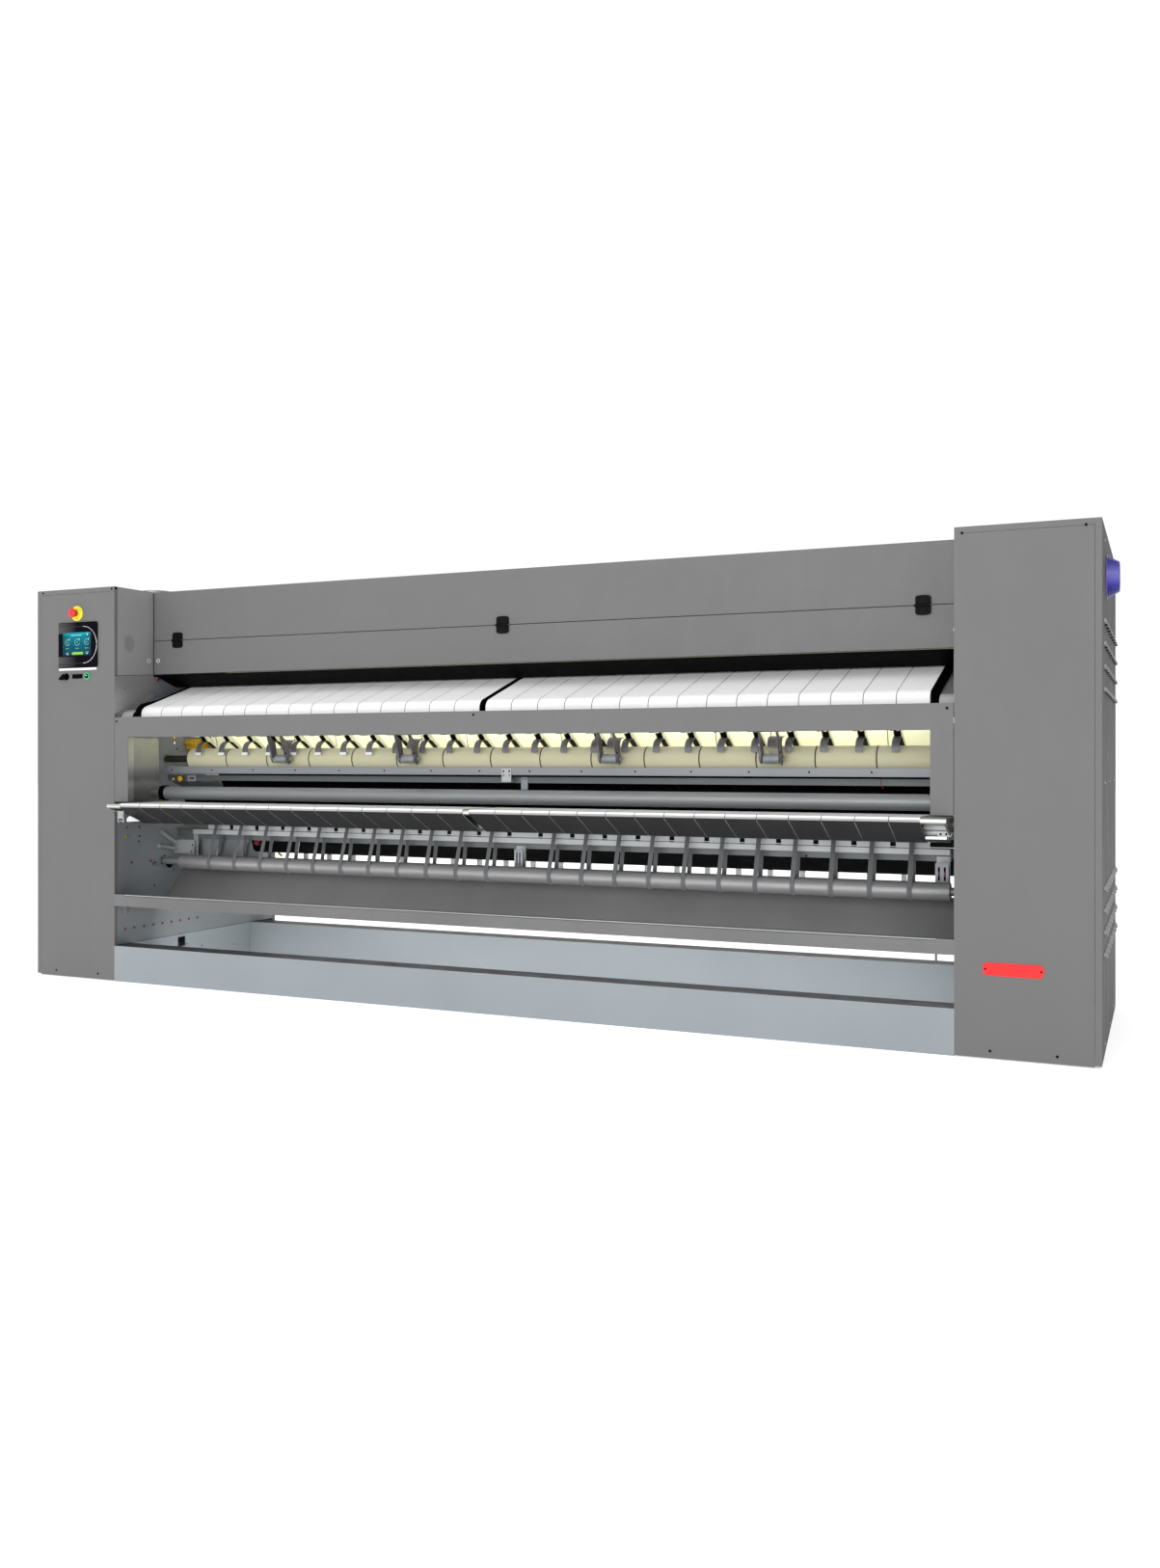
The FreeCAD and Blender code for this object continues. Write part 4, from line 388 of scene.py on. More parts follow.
def table_cloth():
    """Delivery belts, coloured by facing: a bright nose line (painted highlight), a grey front band and a near-black
    underside (painted shade), with light soiling all over.
    """
    m = Mat("table_cloth")
    geo = m.nt.nodes.new("ShaderNodeNewGeometry")
    sep = m.nt.nodes.new("ShaderNodeSeparateXYZ")
    m.link(geo.outputs["Normal"], sep.inputs[0])
    k = m.span(sep.outputs["Z"], -1.0, 1.0, 0.0, 1.0)
    # painted light by facing: near-black facing down, grey facing front, near-white on the upper curve of the nose,
    # light grey on top
    col = m.ramp(k, [(0.0, (0.016, 0.016, 0.017)), (0.30, (0.018, 0.018, 0.019)), (0.36, (0.30, 0.30, 0.305)), (0.66, (0.40, 0.40, 0.40)),
                     (0.70, (0.97, 0.97, 0.97)), (0.90, (0.97, 0.97, 0.97)), (0.96, (0.62, 0.62, 0.62)), (1.0, (0.60, 0.60, 0.60))])
    stain = m.noise(6, 5, 0.6)
    col = m.mix(m.span(stain, 0.5, 0.8, 0.0, 0.10), col, (0.10, 0.10, 0.10))
    wave = m.nt.nodes.new("ShaderNodeTexWave")
    wave.inputs["Scale"].default_value = 160
    m.link(m.mapped((1, 1, 1)), wave.inputs["Vector"])
    col = m.mix(m.span(wave.outputs["Fac"], 0.0, 1.0, 0.06, 0.0), col, (0.05, 0.05, 0.05))
    m.link(col, m.b.inputs["Base Color"])
    m.link(m.span(stain, 0.3, 0.7, 0.55, 0.75), m.b.inputs["Roughness"])
    m.b.inputs["Specular IOR Level"].default_value = 0.15
    m.b.inputs["Sheen Weight"].default_value = 0.02
    m.bump(wave.outputs["Fac"], 0.4, 0.0003)
    m.bump(m.noise(700, 3, 0.7), 0.2, 0.0003)
    return m.m


M["table_belt"] = table_cloth()
M["seam_grey"] = plastic("seam_grey", (0.022, 0.022, 0.022), 0.7, grain=0.3, spec=0.1)
M["seam_brown"] = plastic("seam_brown", (0.055, 0.050, 0.032), 0.8, grain=0.3, spec=0.05)
M["rubber"] = plastic("rubber", (0.010, 0.010, 0.011), 0.7, grain=0.5, spec=0.12)
M["machine_paint"] = paint("machine_paint", (0.05, 0.07, 0.10), 0.4, 0.1, 0.6, 0.3)
M["screw_dark"] = plastic("screw_dark", (0.004, 0.004, 0.004), 0.5, spec=0.08)
M["ring_light"] = metal("ring_light", (0.62, 0.62, 0.62), 0.4, (80, 80, 80), 0.03, metallic=0.1)
M["screw_bright"] = metal("screw_bright", (0.40, 0.41, 0.41), 0.3, (80, 80, 80), 0.1)
# black for real black parts, and painted shade where holes and slots are drawn as flat black discs
M["black_and_painted_hole_shade"] = plastic("black_and_painted_hole_shade", (0.002, 0.002, 0.002), 0.8, spec=0.03)
M["red_plastic"] = plastic("red_plastic", (0.70, 0.020, 0.016), 0.3, coat=0.25, spec=0.3)
M["red_plate"] = plastic("red_plate", (0.80, 0.034, 0.036), 0.5, spec=0.12)
M["red_dark"] = plastic("red_dark", (0.16, 0.005, 0.012), 0.45)
M["yellow_plastic"] = plastic("yellow_plastic", (0.72, 0.66, 0.045), 0.40, spec=0.2)
M["yellow_part"] = paint("yellow_part", (0.55, 0.33, 0.02), 0.45, 0.06, 0.4, 0.2)
M["lime_part"] = plastic("lime_part", (0.20, 0.24, 0.01), 0.5)
M["green_plastic"] = plastic("green_plastic", (0.01, 0.32, 0.10), 0.18, coat=1.0, emit=0.15)
# glowing dot standing in for the highlight on the start button: painted highlight
M["button_highlight_glow"] = plastic("button_highlight_glow", (0.25, 0.9, 0.55), 0.1, coat=1.0, emit=0.8)
M["chrome"] = metal("chrome", (0.75, 0.75, 0.76), 0.12, (60, 60, 60), 0.02)
M["black_plastic"] = plastic("black_plastic", (0.0012, 0.0012, 0.0012), 0.5, spec=0.03)
M["screen_case"] = plastic("screen_case", (0.004, 0.004, 0.005), 0.2, grain=0.02, spec=0.2)
M["case_edge"] = plastic("case_edge", (0.05, 0.05, 0.053), 0.4, grain=0.2, spec=0.2)
# a light rod standing in for a curved highlight on the panel glass: painted highlight
M["arc_highlight"] = metal("arc_highlight", (0.62, 0.60, 0.63), 0.3, (60, 60, 60), 0.03, metallic=0.5)
# white strip standing in for the highlight on the panel's lower edge: painted highlight
M["edge_highlight_white"] = plastic("edge_highlight_white", (0.85, 0.85, 0.85), 0.3)


def outlet_material():
    """Blue-violet enamel with painted shade: darker above and below the collar's axis, lighter through its middle."""
    m = Mat("outlet")
    sep = m.nt.nodes.new("ShaderNodeSeparateXYZ")
    m.link(m.co, sep.inputs[0])
    # painted shade by height: the round collar's top and bottom darker, as light falls less there
    off = m.math("ABSOLUTE", m.math("SUBTRACT", sep.outputs["Z"], 1.562))
    col = m.ramp(m.math("DIVIDE", off, 0.066), [(0.0, (0.20, 0.19, 0.56)), (0.30, (0.11, 0.10, 0.44)), (0.55, (0.030, 0.020, 0.28)),
                                                (0.85, (0.008, 0.003, 0.16)), (1.0, (0.005, 0.002, 0.11))])
    fine = m.noise(420, 3, 0.8)
    col = m.mix(m.span(fine, 0.56, 0.66, 0.0, 0.4), col, (0.50, 0.50, 0.80))
    m.link(col, m.b.inputs["Base Color"])
    m.b.inputs["Metallic"].default_value = 0.15
    m.link(m.span(fine, 0.3, 0.7, 0.30, 0.45), m.b.inputs["Roughness"])
    m.b.inputs["Specular IOR Level"].default_value = 0.2
    m.bump(fine, 0.4, 0.0002)
    return m.m


M["outlet"] = outlet_material()
M["outlet_flange"] = metal("outlet_flange", (0.20, 0.18, 0.50), 0.35, (40, 60, 60), 0.15, metallic=0.5, wear=0.3)
M["galvanised"] = metal("galvanised", (0.33, 0.345, 0.345), 0.42, (30, 30, 30), 0.06, metallic=0.35, blotch=0.15)
# near-black for painted shade: louvre shadows, the sheet behind the bars, the transfer bed and the gaps by the feed
# belts
M["painted_shade_black"] = paint("painted_shade_black", (0.0008, 0.0008, 0.001), 0.8, 0.2, 0.3, 0.0, spec=0.01)
M["heat_steel"] = metal("heat_steel", (0.30, 0.26, 0.22), 0.4, (4, 200, 200), 0.12)


def screen_material():
    m = Mat("screen_glow")
    sep = m.nt.nodes.new("ShaderNodeSeparateXYZ")
    m.link(m.co, sep.inputs[0])
    up = m.span(sep.outputs["Z"], 1.408, 1.511, 0.0, 1.0)
    col = m.ramp(up, [(0.0, (0.0, 0.02, 0.05)), (0.22, (0.0, 0.035, 0.07)), (0.55, (0.0, 0.075, 0.105)),
                      (0.84, (0.0, 0.145, 0.18)), (0.92, (0.005, 0.26, 0.31)), (1.0, (0.0, 0.12, 0.16))])
    side = m.span(sep.outputs["X"], -2.065, -1.90, 0.0, 1.0)
    edge = m.ramp(side, [(0.0, 0.35), (0.2, 0.9), (0.75, 1.0), (1.0, 0.3)])
    col = m.mix(1.0, col, edge, "MULTIPLY")
    cell = m.noise(260, 3, 0.7)
    col = m.mix(m.span(cell, 0.45, 0.75, 0.0, 0.25), col, (0.02, 0.42, 0.46))
    m.link(col, m.b.inputs["Base Color"])
    m.link(col, m.b.inputs["Emission Color"])
    m.b.inputs["Emission Strength"].default_value = 0.12
    m.b.inputs["Roughness"].default_value = 0.25
    m.b.inputs["Specular IOR Level"].default_value = 0.08
    return m.m


M["screen_glow"] = screen_material()
M["icon_light"] = plastic("icon_light", (0.30, 0.62, 0.68), 0.3, emit=0.30)
M["icon_green"] = plastic("icon_green", (0.16, 0.36, 0.01), 0.3, emit=0.35)
M["icon_white"] = plastic("icon_white", (0.70, 0.75, 0.80), 0.3, emit=0.3)



def soft_spot(m, y, z, ry, rz, k):
    """A soft darker oval on the inner covers."""
    nt = m.node_tree
    b = nt.nodes["Principled BSDF"]
    src = b.inputs["Base Color"].links[0].from_socket
    tc = nt.nodes.new("ShaderNodeTexCoord")
    mp = nt.nodes.new("ShaderNodeMapping")
    mp.vector_type = "TEXTURE"
    mp.inputs["Location"].default_value = (0, (y - FY) / 1000, z / 1000)
    mp.inputs["Scale"].default_value = (1000, ry / 1000, rz / 1000)
    nt.links.new(tc.outputs["Object"], mp.inputs["Vector"])
    ln = nt.nodes.new("ShaderNodeVectorMath")
    ln.operation = "LENGTH"
    nt.links.new(mp.outputs["Vector"], ln.inputs[0])
    mr = nt.nodes.new("ShaderNodeMapRange")
    mr.inputs["From Min"].default_value = 0.75
    mr.inputs["From Max"].default_value = 1.25
    mr.inputs["To Min"].default_value = k
    mr.inputs["To Max"].default_value = 0.0
    nt.links.new(ln.outputs["Value"], mr.inputs["Value"])
    mx = nt.nodes.new("ShaderNodeMix")
    mx.data_type = "RGBA"
    nt.links.new(mr.outputs["Result"], mx.inputs[0])
    nt.links.new(src, mx.inputs[6])
    mx.inputs[7].default_value = (0.05, 0.05, 0.05, 1)
    nt.links.new(mx.outputs[2], b.inputs["Base Color"])


soft_spot(M["inner_paint"], 88.8, 1459.6, 30, 36, 0.30)

# ---------------------------------------------------------------------------------------
# Mesh tools. All numbers are machine millimetres: X = 0 at mid width, Y = 0 at the front of
# the columns, Z = 0 on the floor.


class Piece:
    def __init__(self, name):
        self.name = name
        self.v = []
        self.f = []
        self.mi = []
        self.mats = []
        self.cur = 0

    def use(self, key):
        if key not in self.mats:
            self.mats.append(key)
        self.cur = self.mats.index(key)
        return self

    def add(self, verts, faces):
        o = len(self.v)
        self.v += [tuple(p) for p in verts]
        self.f += [tuple(o + i for i in f) for f in faces]
        self.mi += [self.cur] * len(faces)

    def box(self, x0, y0, z0, x1, y1, z1):
        x0, x1 = min(x0, x1), max(x0, x1)
        y0, y1 = min(y0, y1), max(y0, y1)
        z0, z1 = min(z0, z1), max(z0, z1)
        v = [(x, y, z) for z in (z0, z1) for y in (y0, y1) for x in (x0, x1)]
        self.add(v, [(0, 2, 3, 1), (4, 5, 7, 6), (0, 1, 5, 4), (2, 6, 7, 3), (0, 4, 6, 2), (1, 3, 7, 5)])

    def prism(self, axis, poly, a0, a1):
        """Polygon pushed from a0 to a1 along an axis; poly in the two other axes, in order."""
        def at(p, a):
            u, w = p
            return {"X": (a, u, w), "Y": (u, a, w), "Z": (u, w, a)}[axis]
        area = sum(poly[i][0] * poly[(i + 1) % len(poly)][1] - poly[(i + 1) % len(poly)][0] * poly[i][1]
                   for i in range(len(poly)))
        pts = list(poly) if (area > 0) != (axis == "Y") else list(reversed(poly))
        if a1 < a0:
            a0, a1 = a1, a0
        n = len(pts)
        v = [at(p, a0) for p in pts] + [at(p, a1) for p in pts]
        f = [tuple(reversed(range(n))), tuple(range(n, 2 * n))]
        f += [(i, (i + 1) % n, n + (i + 1) % n, n + i) for i in range(n)]
        self.add(v, f)

    def lathe(self, axis, c, prof, seg=32, closed=False):
        """Profile [(u, r)] turned about an axis through c; u runs along the axis from c.
        Ends at r = 0 become points; closed joins the last profile point to the first."""
        ring = []
        for u, r in prof:
            if r <= 1e-6 and not closed:
                ring.append([self._turn(axis, c, u, 0, 0)])
            else:
                ring.append([self._turn(axis, c, u, r, 2 * math.pi * k / seg) for k in range(seg)])
        verts, idx = [], []
        for r in ring:
            idx.append(list(range(len(verts), len(verts) + len(r))))
            verts += r
        faces = []
        rows = list(range(len(ring) - 1)) + ([len(ring) - 1] if closed else [])
        for i in rows:
            a, b = idx[i], idx[(i + 1) % len(ring)]
            for k in range(seg):
                k2 = (k + 1) % seg
                if len(a) == 1 and len(b) == 1:
                    continue
                if len(a) == 1:
                    faces.append((a[0], b[k], b[k2]))
                elif len(b) == 1:
                    faces.append((a[k], b[0], a[k2]))
                else:
                    faces.append((a[k], b[k], b[k2], a[k2]))
        if not closed:
            if len(idx[0]) > 1:
                faces.append(tuple(reversed(idx[0])) if True else ())
            if len(idx[-1]) > 1:
                faces.append(tuple(idx[-1]))
        self.add(verts, faces)

    @staticmethod
    def _turn(axis, c, u, r, t):
        a, b = r * math.cos(t), r * math.sin(t)
        if axis == "X":
            return (c[0] + u, c[1] + a, c[2] + b)
        if axis == "Y":
            return (c[0] + a, c[1] + u, c[2] + b)
        return (c[0] + a, c[1] + b, c[2] + u)

    def tube(self, pts, r, seg=10):
        """Round rod along straight points."""
        ps = [Vector(p) for p in pts]
        rings = []
        for i, p in enumerate(ps):
            d = (ps[min(i + 1, len(ps) - 1)] - ps[max(i - 1, 0)]).normalized()
            s = d.cross(Vector((0, 0, 1)))
            if s.length < 1e-3:
                s = d.cross(Vector((1, 0, 0)))
            s.normalize()
            w = s.cross(d)
            rings.append([tuple(p + s * (r * math.cos(2 * math.pi * k / seg)) + w * (r * math.sin(2 * math.pi * k / seg)))
                          for k in range(seg)])
        v = [q for g in rings for q in g]
        f = []
        for i in range(len(rings) - 1):
            for k in range(seg):
                k2 = (k + 1) % seg
                f.append((i * seg + k, i * seg + k2, (i + 1) * seg + k2, (i + 1) * seg + k))
        f.append(tuple(reversed(range(seg))))
        f.append(tuple(range((len(rings) - 1) * seg, len(rings) * seg)))
        self.add(v, f)

    def strip(self, path, x0, x1, thick):
        """Bent sheet: path of (y, z), square thickness to the left of travel."""
        n = len(path)
        off = []
        for i in range(n):
            a, b = path[max(i - 1, 0)], path[min(i + 1, n - 1)]
            dy, dz = b[0] - a[0], b[1] - a[1]
            d = math.hypot(dy, dz)
            off.append((path[i][0] - dz / d * thick, path[i][1] + dy / d * thick))
        v = []
        for x in (x0, x1):
            v += [(x, y, z) for y, z in path] + [(x, y, z) for y, z in off]
        m = 2 * n
        f = []
        for i in range(n - 1):
            f.append((i, i + 1, m + i + 1, m + i))
            f.append((n + i, m + n + i, m + n + i + 1, n + i + 1))
            f.append((i, n + i, n + i + 1, i + 1))
            f.append((m + i, m + i + 1, m + n + i + 1, m + n + i))
        f.append((0, m, m + n, n))
        f.append((n - 1, 2 * n - 1, m + 2 * n - 1, m + n - 1))
        self.add(v, f)

    def screw(self, c, axis="Y", sign=-1, r=4.5, h=2.2, seg=16, socket=True):
        """Button head with a socket; axis and sign say which way it faces."""
        prof = [(0, r), (h * 0.35, r), (h * 0.75, r * 0.82), (h, r * 0.55)]
        if socket:
            prof += [(h * 0.98, r * 0.45), (h * 0.35, r * 0.42), (h * 0.3, 0)]
        else:
            prof += [(h * 1.05, 0)]
        self.lathe(axis, c, [(sign * u, q) for u, q in prof], seg)

    def done(self, body="frame", slot=None, replaces=(), bevel=0.0, seg=2, angle=32.0, fix=True):
        me = bpy.data.meshes.new(self.name)
        me.from_pydata([((x - FX) / 1000, (y - FY) / 1000, z / 1000) for x, y, z in self.v], [], self.f)
        for key in self.mats or ["cover_paint"]:
            me.materials.append(M[key])
        for p, i in zip(me.polygons, self.mi):
            p.material_index = i
        import bmesh
        bm = bmesh.new()
        bm.from_mesh(me)
        if fix:
            bmesh.ops.remove_doubles(bm, verts=bm.verts, dist=1e-6)
            bmesh.ops.recalc_face_normals(bm, faces=bm.faces)
        lim = math.radians(angle)
        for e in bm.edges:
            e.smooth = not (len(e.link_faces) == 2 and e.calc_face_angle(0) > lim)
        for f in bm.faces:
            f.smooth = True
        bm.to_mesh(me)
        bm.free()
        ob = bpy.data.objects.new(self.name, me)
        bpy.context.scene.collection.objects.link(ob)
        if bevel:
            md = ob.modifiers.new("edge", "BEVEL")
            md.width = bevel / 1000
            md.segments = seg
            md.limit_method = "ANGLE"
            md.angle_limit = lim
            md.harden_normals = True
        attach(ob, body)
        for n in replaces:
            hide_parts(n)
        return ob


def arc(cy, cz, r, a0, a1, n):
    return [(cy + r * math.cos(math.radians(a0 + (a1 - a0) * k / n)), cz + r * math.sin(math.radians(a0 + (a1 - a0) * k / n)))
            for k in range(n + 1)]


def rounded(x0, z0, x1, z1, r, n=6):
    pts = []
    for cx, cz, a in ((x1 - r, z0 + r, -90), (x1 - r, z1 - r, 0), (x0 + r, z1 - r, 90), (x0 + r, z0 + r, 180)):
        pts += arc(cx, cz, r, a, a + 90, n)
    return pts


def dress(node, key, weld=False, bevel=0.0, seg=2):
    """Give a frame node its material; optionally break its sharp edges."""
    ob = NODES[node]
    if not ob.material_slots:
        ob.data.materials.append(M[key])
    for s in ob.material_slots:
        s.material = M[key]
    if bevel:
        w = ob.modifiers.new("join", "WELD")
        w.merge_threshold = 1e-6
        b = ob.modifiers.new("edge", "BEVEL")
        b.width = bevel / 1000
        b.segments = seg
        b.limit_method = "ANGLE"
        b.angle_limit = math.radians(40)
    return ob


# ---------------------------------------------------------------------------------------
# Frame nodes that keep their shape

dress("base_beams", "base_paint")
dress("side_plates", "frame_paint")
dress("bearings", "roller_steel")
for n in ("column_front_left", "column_front_right", "column_tops", "column_backs", "back_panel", "front_frame",
          "control_cabinet"):
    dress(n, "cover_paint")
for n in ("column_side_left", "column_side_right"):
    dress(n, "side_paint")
for n in ("hood_front_panel", "hood_top_panel", "hood_flap"):
    dress(n, "hood_paint")
dress("inner_covers", "inner_paint")
for n in ("hinge_upper_leaves", "hinge_lower_leaves"):
    dress(n, "black_hinge")
dress("hinge_pins", "screw_bright")
dress("finger_guard", "black_paint")
dress("feed_table_bed", "stainless")
dress("feed_table_rails", "cover_paint")
dress("feed_belts", "feed_belt")
dress("feed_nose_roller", "roller_steel")
dress("feed_drive_roller", "roller_steel")
dress("ironing_cylinder", "cylinder_cloth")
dress("heating_elements", "heat_steel")
dress("ironing_belts", "iron_belt")
dress("exit_roller", "seam_grey")
for n in ("nip_roller", "rear_lower_roller", "rear_upper_roller", "table_drive_roller", "table_idler_roller"):
    dress(n, "roller_steel")
dress("drive_gearmotor", "machine_paint")
dress("guard_bar", "bar_steel")
dress("sensor_bar", "bar_dark")
dress("delivery_roller", "tube_steel")
dress("delivery_bed", "stainless")
dress("delivery_belts", "table_belt")
dress("fold_roller", "roller_grey")
dress("fold_beam", "beam_grey")
dress("fold_tapes", "tape")
dress("fold_plates", "plate_steel")
dress("fold_brackets", "zinc_steel")
# painted shade: the transfer bed goes near-black for the shaded undersides of its belts
dress("transfer_bed", "painted_shade_black")
dress("transfer_uprights", "galvanised")
dress("collection_tray", "tray_paint")
dress("fan_housing", "galvanised")
dress("fan_wheel", "zinc_steel")
dress("guide_rollers", "rubber")
dress("guide_brackets", "zinc_steel")
dress("strippers", "finger")
dress("exhaust_collars", "outlet")
dress("hmi_panel", "screen_case")
dress("control_bezels", "yellow_plastic")
dress("estop_knob", "red_plastic")
dress("start_button", "green_plastic")
dress("selector_knob", "black_plastic")
dress("panel_screws", "screw_dark")

# ---------------------------------------------------------------------------------------
# Camera, light, floor

cam = bpy.data.cameras.new("camera")
cam.lens = 30.24
cam.sensor_width = 36.0
cam.sensor_fit = "AUTO"
cam.shift_y = -0.0153
cam.clip_end = 100
cam_ob = bpy.data.objects.new("camera", cam)
cam_ob.location = (2.3703, -4.8865, 0.9518)
cam_ob.rotation_euler = (math.radians(90), 0, math.radians(24.11))
bpy.context.scene.collection.objects.link(cam_ob)
bpy.context.scene.camera = cam_ob

world = bpy.data.worlds.new("studio")
bpy.context.scene.world = world
world.use_nodes = True
bg = world.node_tree.nodes["Background"]
bg.inputs["Color"].default_value = (1, 1, 1, 1)
bg.inputs["Strength"].default_value = 1.04
# a studio wall that is a little darker on the machine's right
wco = world.node_tree.nodes.new("ShaderNodeTexCoord")
wsep = world.node_tree.nodes.new("ShaderNodeSeparateXYZ")
wmap = world.node_tree.nodes.new("ShaderNodeMapRange")
wmap.inputs["From Min"].default_value = 0.25
wmap.inputs["From Max"].default_value = 0.75
wmap.inputs["To Min"].default_value = 1.04
wmap.inputs["To Max"].default_value = 0.42
world.node_tree.links.new(wco.outputs["Generated"], wsep.inputs[0])
world.node_tree.links.new(wsep.outputs["X"], wmap.inputs["Value"])
world.node_tree.links.new(wmap.outputs["Result"], bg.inputs["Strength"])


def area(name, loc, target, sx, sy, power):
    li = bpy.data.lights.new(name, "AREA")
    li.shape = "RECTANGLE"
    li.size, li.size_y = sx, sy
    li.energy = power
    ob = bpy.data.objects.new(name, li)
    ob.location = loc
    d = Vector(target) - Vector(loc)
    ob.rotation_euler = d.to_track_quat("-Z", "Y").to_euler()
    bpy.context.scene.collection.objects.link(ob)
    return ob


area("key", (0.2, -8.0, 2.4), (0.1, 0, 0.9), 6.5, 2.5, 275)
# soft lamps in the machine's own openings, so that its inside isn't a black hole
for nm, loc, tgt, sx, sy, power in (
        ("lamp_belts", (0.0, -0.225, 1.120), (0.0, 0.715, 1.46), 3.25, 0.03, 3.3),
        ("lamp_window", (0.0, -0.488, 1.040), (0.0, -0.1, 0.90), 3.40, 0.03, 2.0),
        ("lamp_fold", (0.0, -0.46, 0.45), (0.0, 0.3, 0.50), 3.2, 0.10, 4.0),
        ("lamp_under", (0.0, -0.30, 0.24), (0.0, 0.5, 0.09), 3.2, 0.08, 11.0)):
    lamp = area(nm, loc, tgt, sx, sy, power)
    lamp.visible_camera = False
    lamp.visible_glossy = nm == "lamp_fold"

bpy.context.scene.view_settings.view_transform = "Standard"
bpy.context.scene.view_settings.look = "None"
bpy.context.scene.view_settings.exposure = 0.0
bpy.context.scene.view_settings.gamma = 1.0

fl = bpy.data.meshes.new("floor")
S = 40.0
fl.from_pydata([(-S, -S, -0.0005), (S, -S, -0.0005), (S, S, -0.0005), (-S, S, -0.0005)], [], [(0, 1, 2, 3)])
floor_mat = paint("floor_pale", (0.97, 0.97, 0.97), 0.9, 0.01, 0.1, 0.0, spec=0.1)
floor_bsdf = floor_mat.node_tree.nodes["Principled BSDF"]
floor_bsdf.inputs["Emission Color"].default_value = (1, 1, 1, 1)
floor_bsdf.inputs["Emission Strength"].default_value = 0.50
fl.materials.append(floor_mat)
floor = bpy.data.objects.new("floor", fl)
bpy.context.scene.collection.objects.link(floor)
floor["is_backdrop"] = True

# ---------------------------------------------------------------------------------------
# Cover screws

p = Piece("cover_screws").use("screw_dark")
for x, z in ((-2168, 1690), (-1772, 1690), (-2090, 26), (-1850, 26), (1782, 1680), (2154, 1680), (1868, 26), (2070, 26),
             (-1745, 1118), (0, 1122), (1735, 1119)):
    p.screw((x, 0, z), "Y", -1, 4.6, 2.1)
for k in range(16):
    p.screw((-1703 + 223.9 * k, 298, 908), "Y", -1, 3.6, 1.6)
p.use("screw_bright")
for s in (-1, 1):
    for y, z in ((24, 1647), (38, 1661), (226, 1661), (190, 1562), (60, 1230), (150, 1260)):
        p.screw((s * 1757, y, z), "X", -s, 3.4, 1.4)
    for y in (200, 557, 915):
        for z in (40, 880, 1660):
            p.screw((s * 2200, y, z), "X", s, 4.6, 2.1)
for x in (-1740, -1182, -1158, -598, -574, -12, 12, 574, 598, 1158, 1182, 1740):
    for z in (660, 1010, 1350, 1684):
        p.screw((x, 1115, z), "Y", 1, 4.6, 2.1)
for s in (-1, 1):
    for x in (1775, 1968, 2160):
        for z in (40, 870, 1684):
            p.screw((s * x, 1115, z), "Y", 1, 4.6, 2.1)
p.done("frame", "screw", ("panel_screws",))

p = Piece("ring_bolts").use("ring_light")
for s in (-1, 1):
    c = (s * 1757, 210, 1392.6)
    p.lathe("X", c, [(-s * u, r) for u, r in ((0, 9.5), (2.6, 9.0), (3.0, 7.5), (2.2, 5.5), (1.2, 5.2), (1.2, 0))], 24)
p.use("screw_dark")
for s in (-1, 1):
    p.lathe("X", (s * 1757, 210, 1392.6), [(-s * u, r) for u, r in ((1.25, 4.9), (2.0, 4.4), (2.0, 0))], 12)
p.done("frame", "screw")
p = Piece("flap_bolts").use("ring_light")
for x in (-1729, 1729):
    p.lathe("Y", (x, 239, 1394.5), [(0, 9.0), (-2.2, 8.6), (-2.6, 7.2), (-1.8, 5.2), (-1.0, 5.0), (-1.0, 0)], 24)
p.use("screw_dark")
for x in (-1729, 1729):
    p.lathe("Y", (x, 239, 1394.5), [(-1.05, 4.7), (-1.7, 4.2), (-1.7, 0)], 12)
p.done("hood_flap", "screw")

# ---------------------------------------------------------------------------------------
# Hinges: two rounded leaves and a barrel each

for tag, body, slot_, up, node in (("upper", "frame", "black_hinge", 1, "hinge_upper_leaves"),
                                   ("lower", "hood_flap", "black_hinge", -1, "hinge_lower_leaves")):
    p = Piece("hinge_leaves_" + tag).use("black_hinge")
    for xc in (-1618, 1, 1620):
        r, w, h = 9.0, 26.0, 33.0
        za, zb = (1482.8, 1482 + h) if up > 0 else (1482 - h, 1481.2)
        poly = []
        if up > 0:
            poly = [(xc - w, za), (xc + w, za)] + arc(xc + w - r, zb - r, r, 0, 90, 6) + [(xc, zb + 1.2)] + arc(xc - w + r, zb - r, r, 90, 180, 6)
        else:
            poly = arc(xc - w + r, za + r, r, 180, 270, 6) + [(xc, za - 1.2)] + arc(xc + w - r, za + r, r, -90, 0, 6) + [(xc + w, zb), (xc - w, zb)]
        p.prism("Y", poly, 231.5, 239 - 0.2)
        xs = (-26.0, -9.0) if up > 0 else (-9.0, 9.0)
        p.lathe("X", (xc, 232, 1482), [(xs[0], 4.5), (xs[0] + 1, 6.0), (xs[1] - 1, 6.0), (xs[1], 4.5)], 20)
        if up > 0:
            p.lathe("X", (xc, 232, 1482), [(9.0, 4.5), (10.0, 6.0), (25.0, 6.0), (26.0, 4.5)], 20)
            p.lathe("X", (xc, 232, 1481.0), [(-30.5, 0), (-30.0, 3.4), (-28, 4.6), (-26.2, 4.6)], 16)
        for dx in (-14, 14):
            dz = 18 * up
            p.lathe("Y", (xc + dx, 231.5, 1482 + dz), [(-1.3, 0), (-1.0, 2.8), (-0.1, 4.6), (0.1, 4.6)], 14)
    p.done(body, slot_, (node,), bevel=1.2)
p = Piece("hinge_rods").use("screw_bright")
for xc in (-1618, 1, 1620):
    p.lathe("X", (xc, 232, 1482), [(-27.5, 0), (-27.0, 2.2), (27.0, 2.2), (27.5, 0)], 14)
p.done("frame", "zinc_steel", ("hinge_pins",))

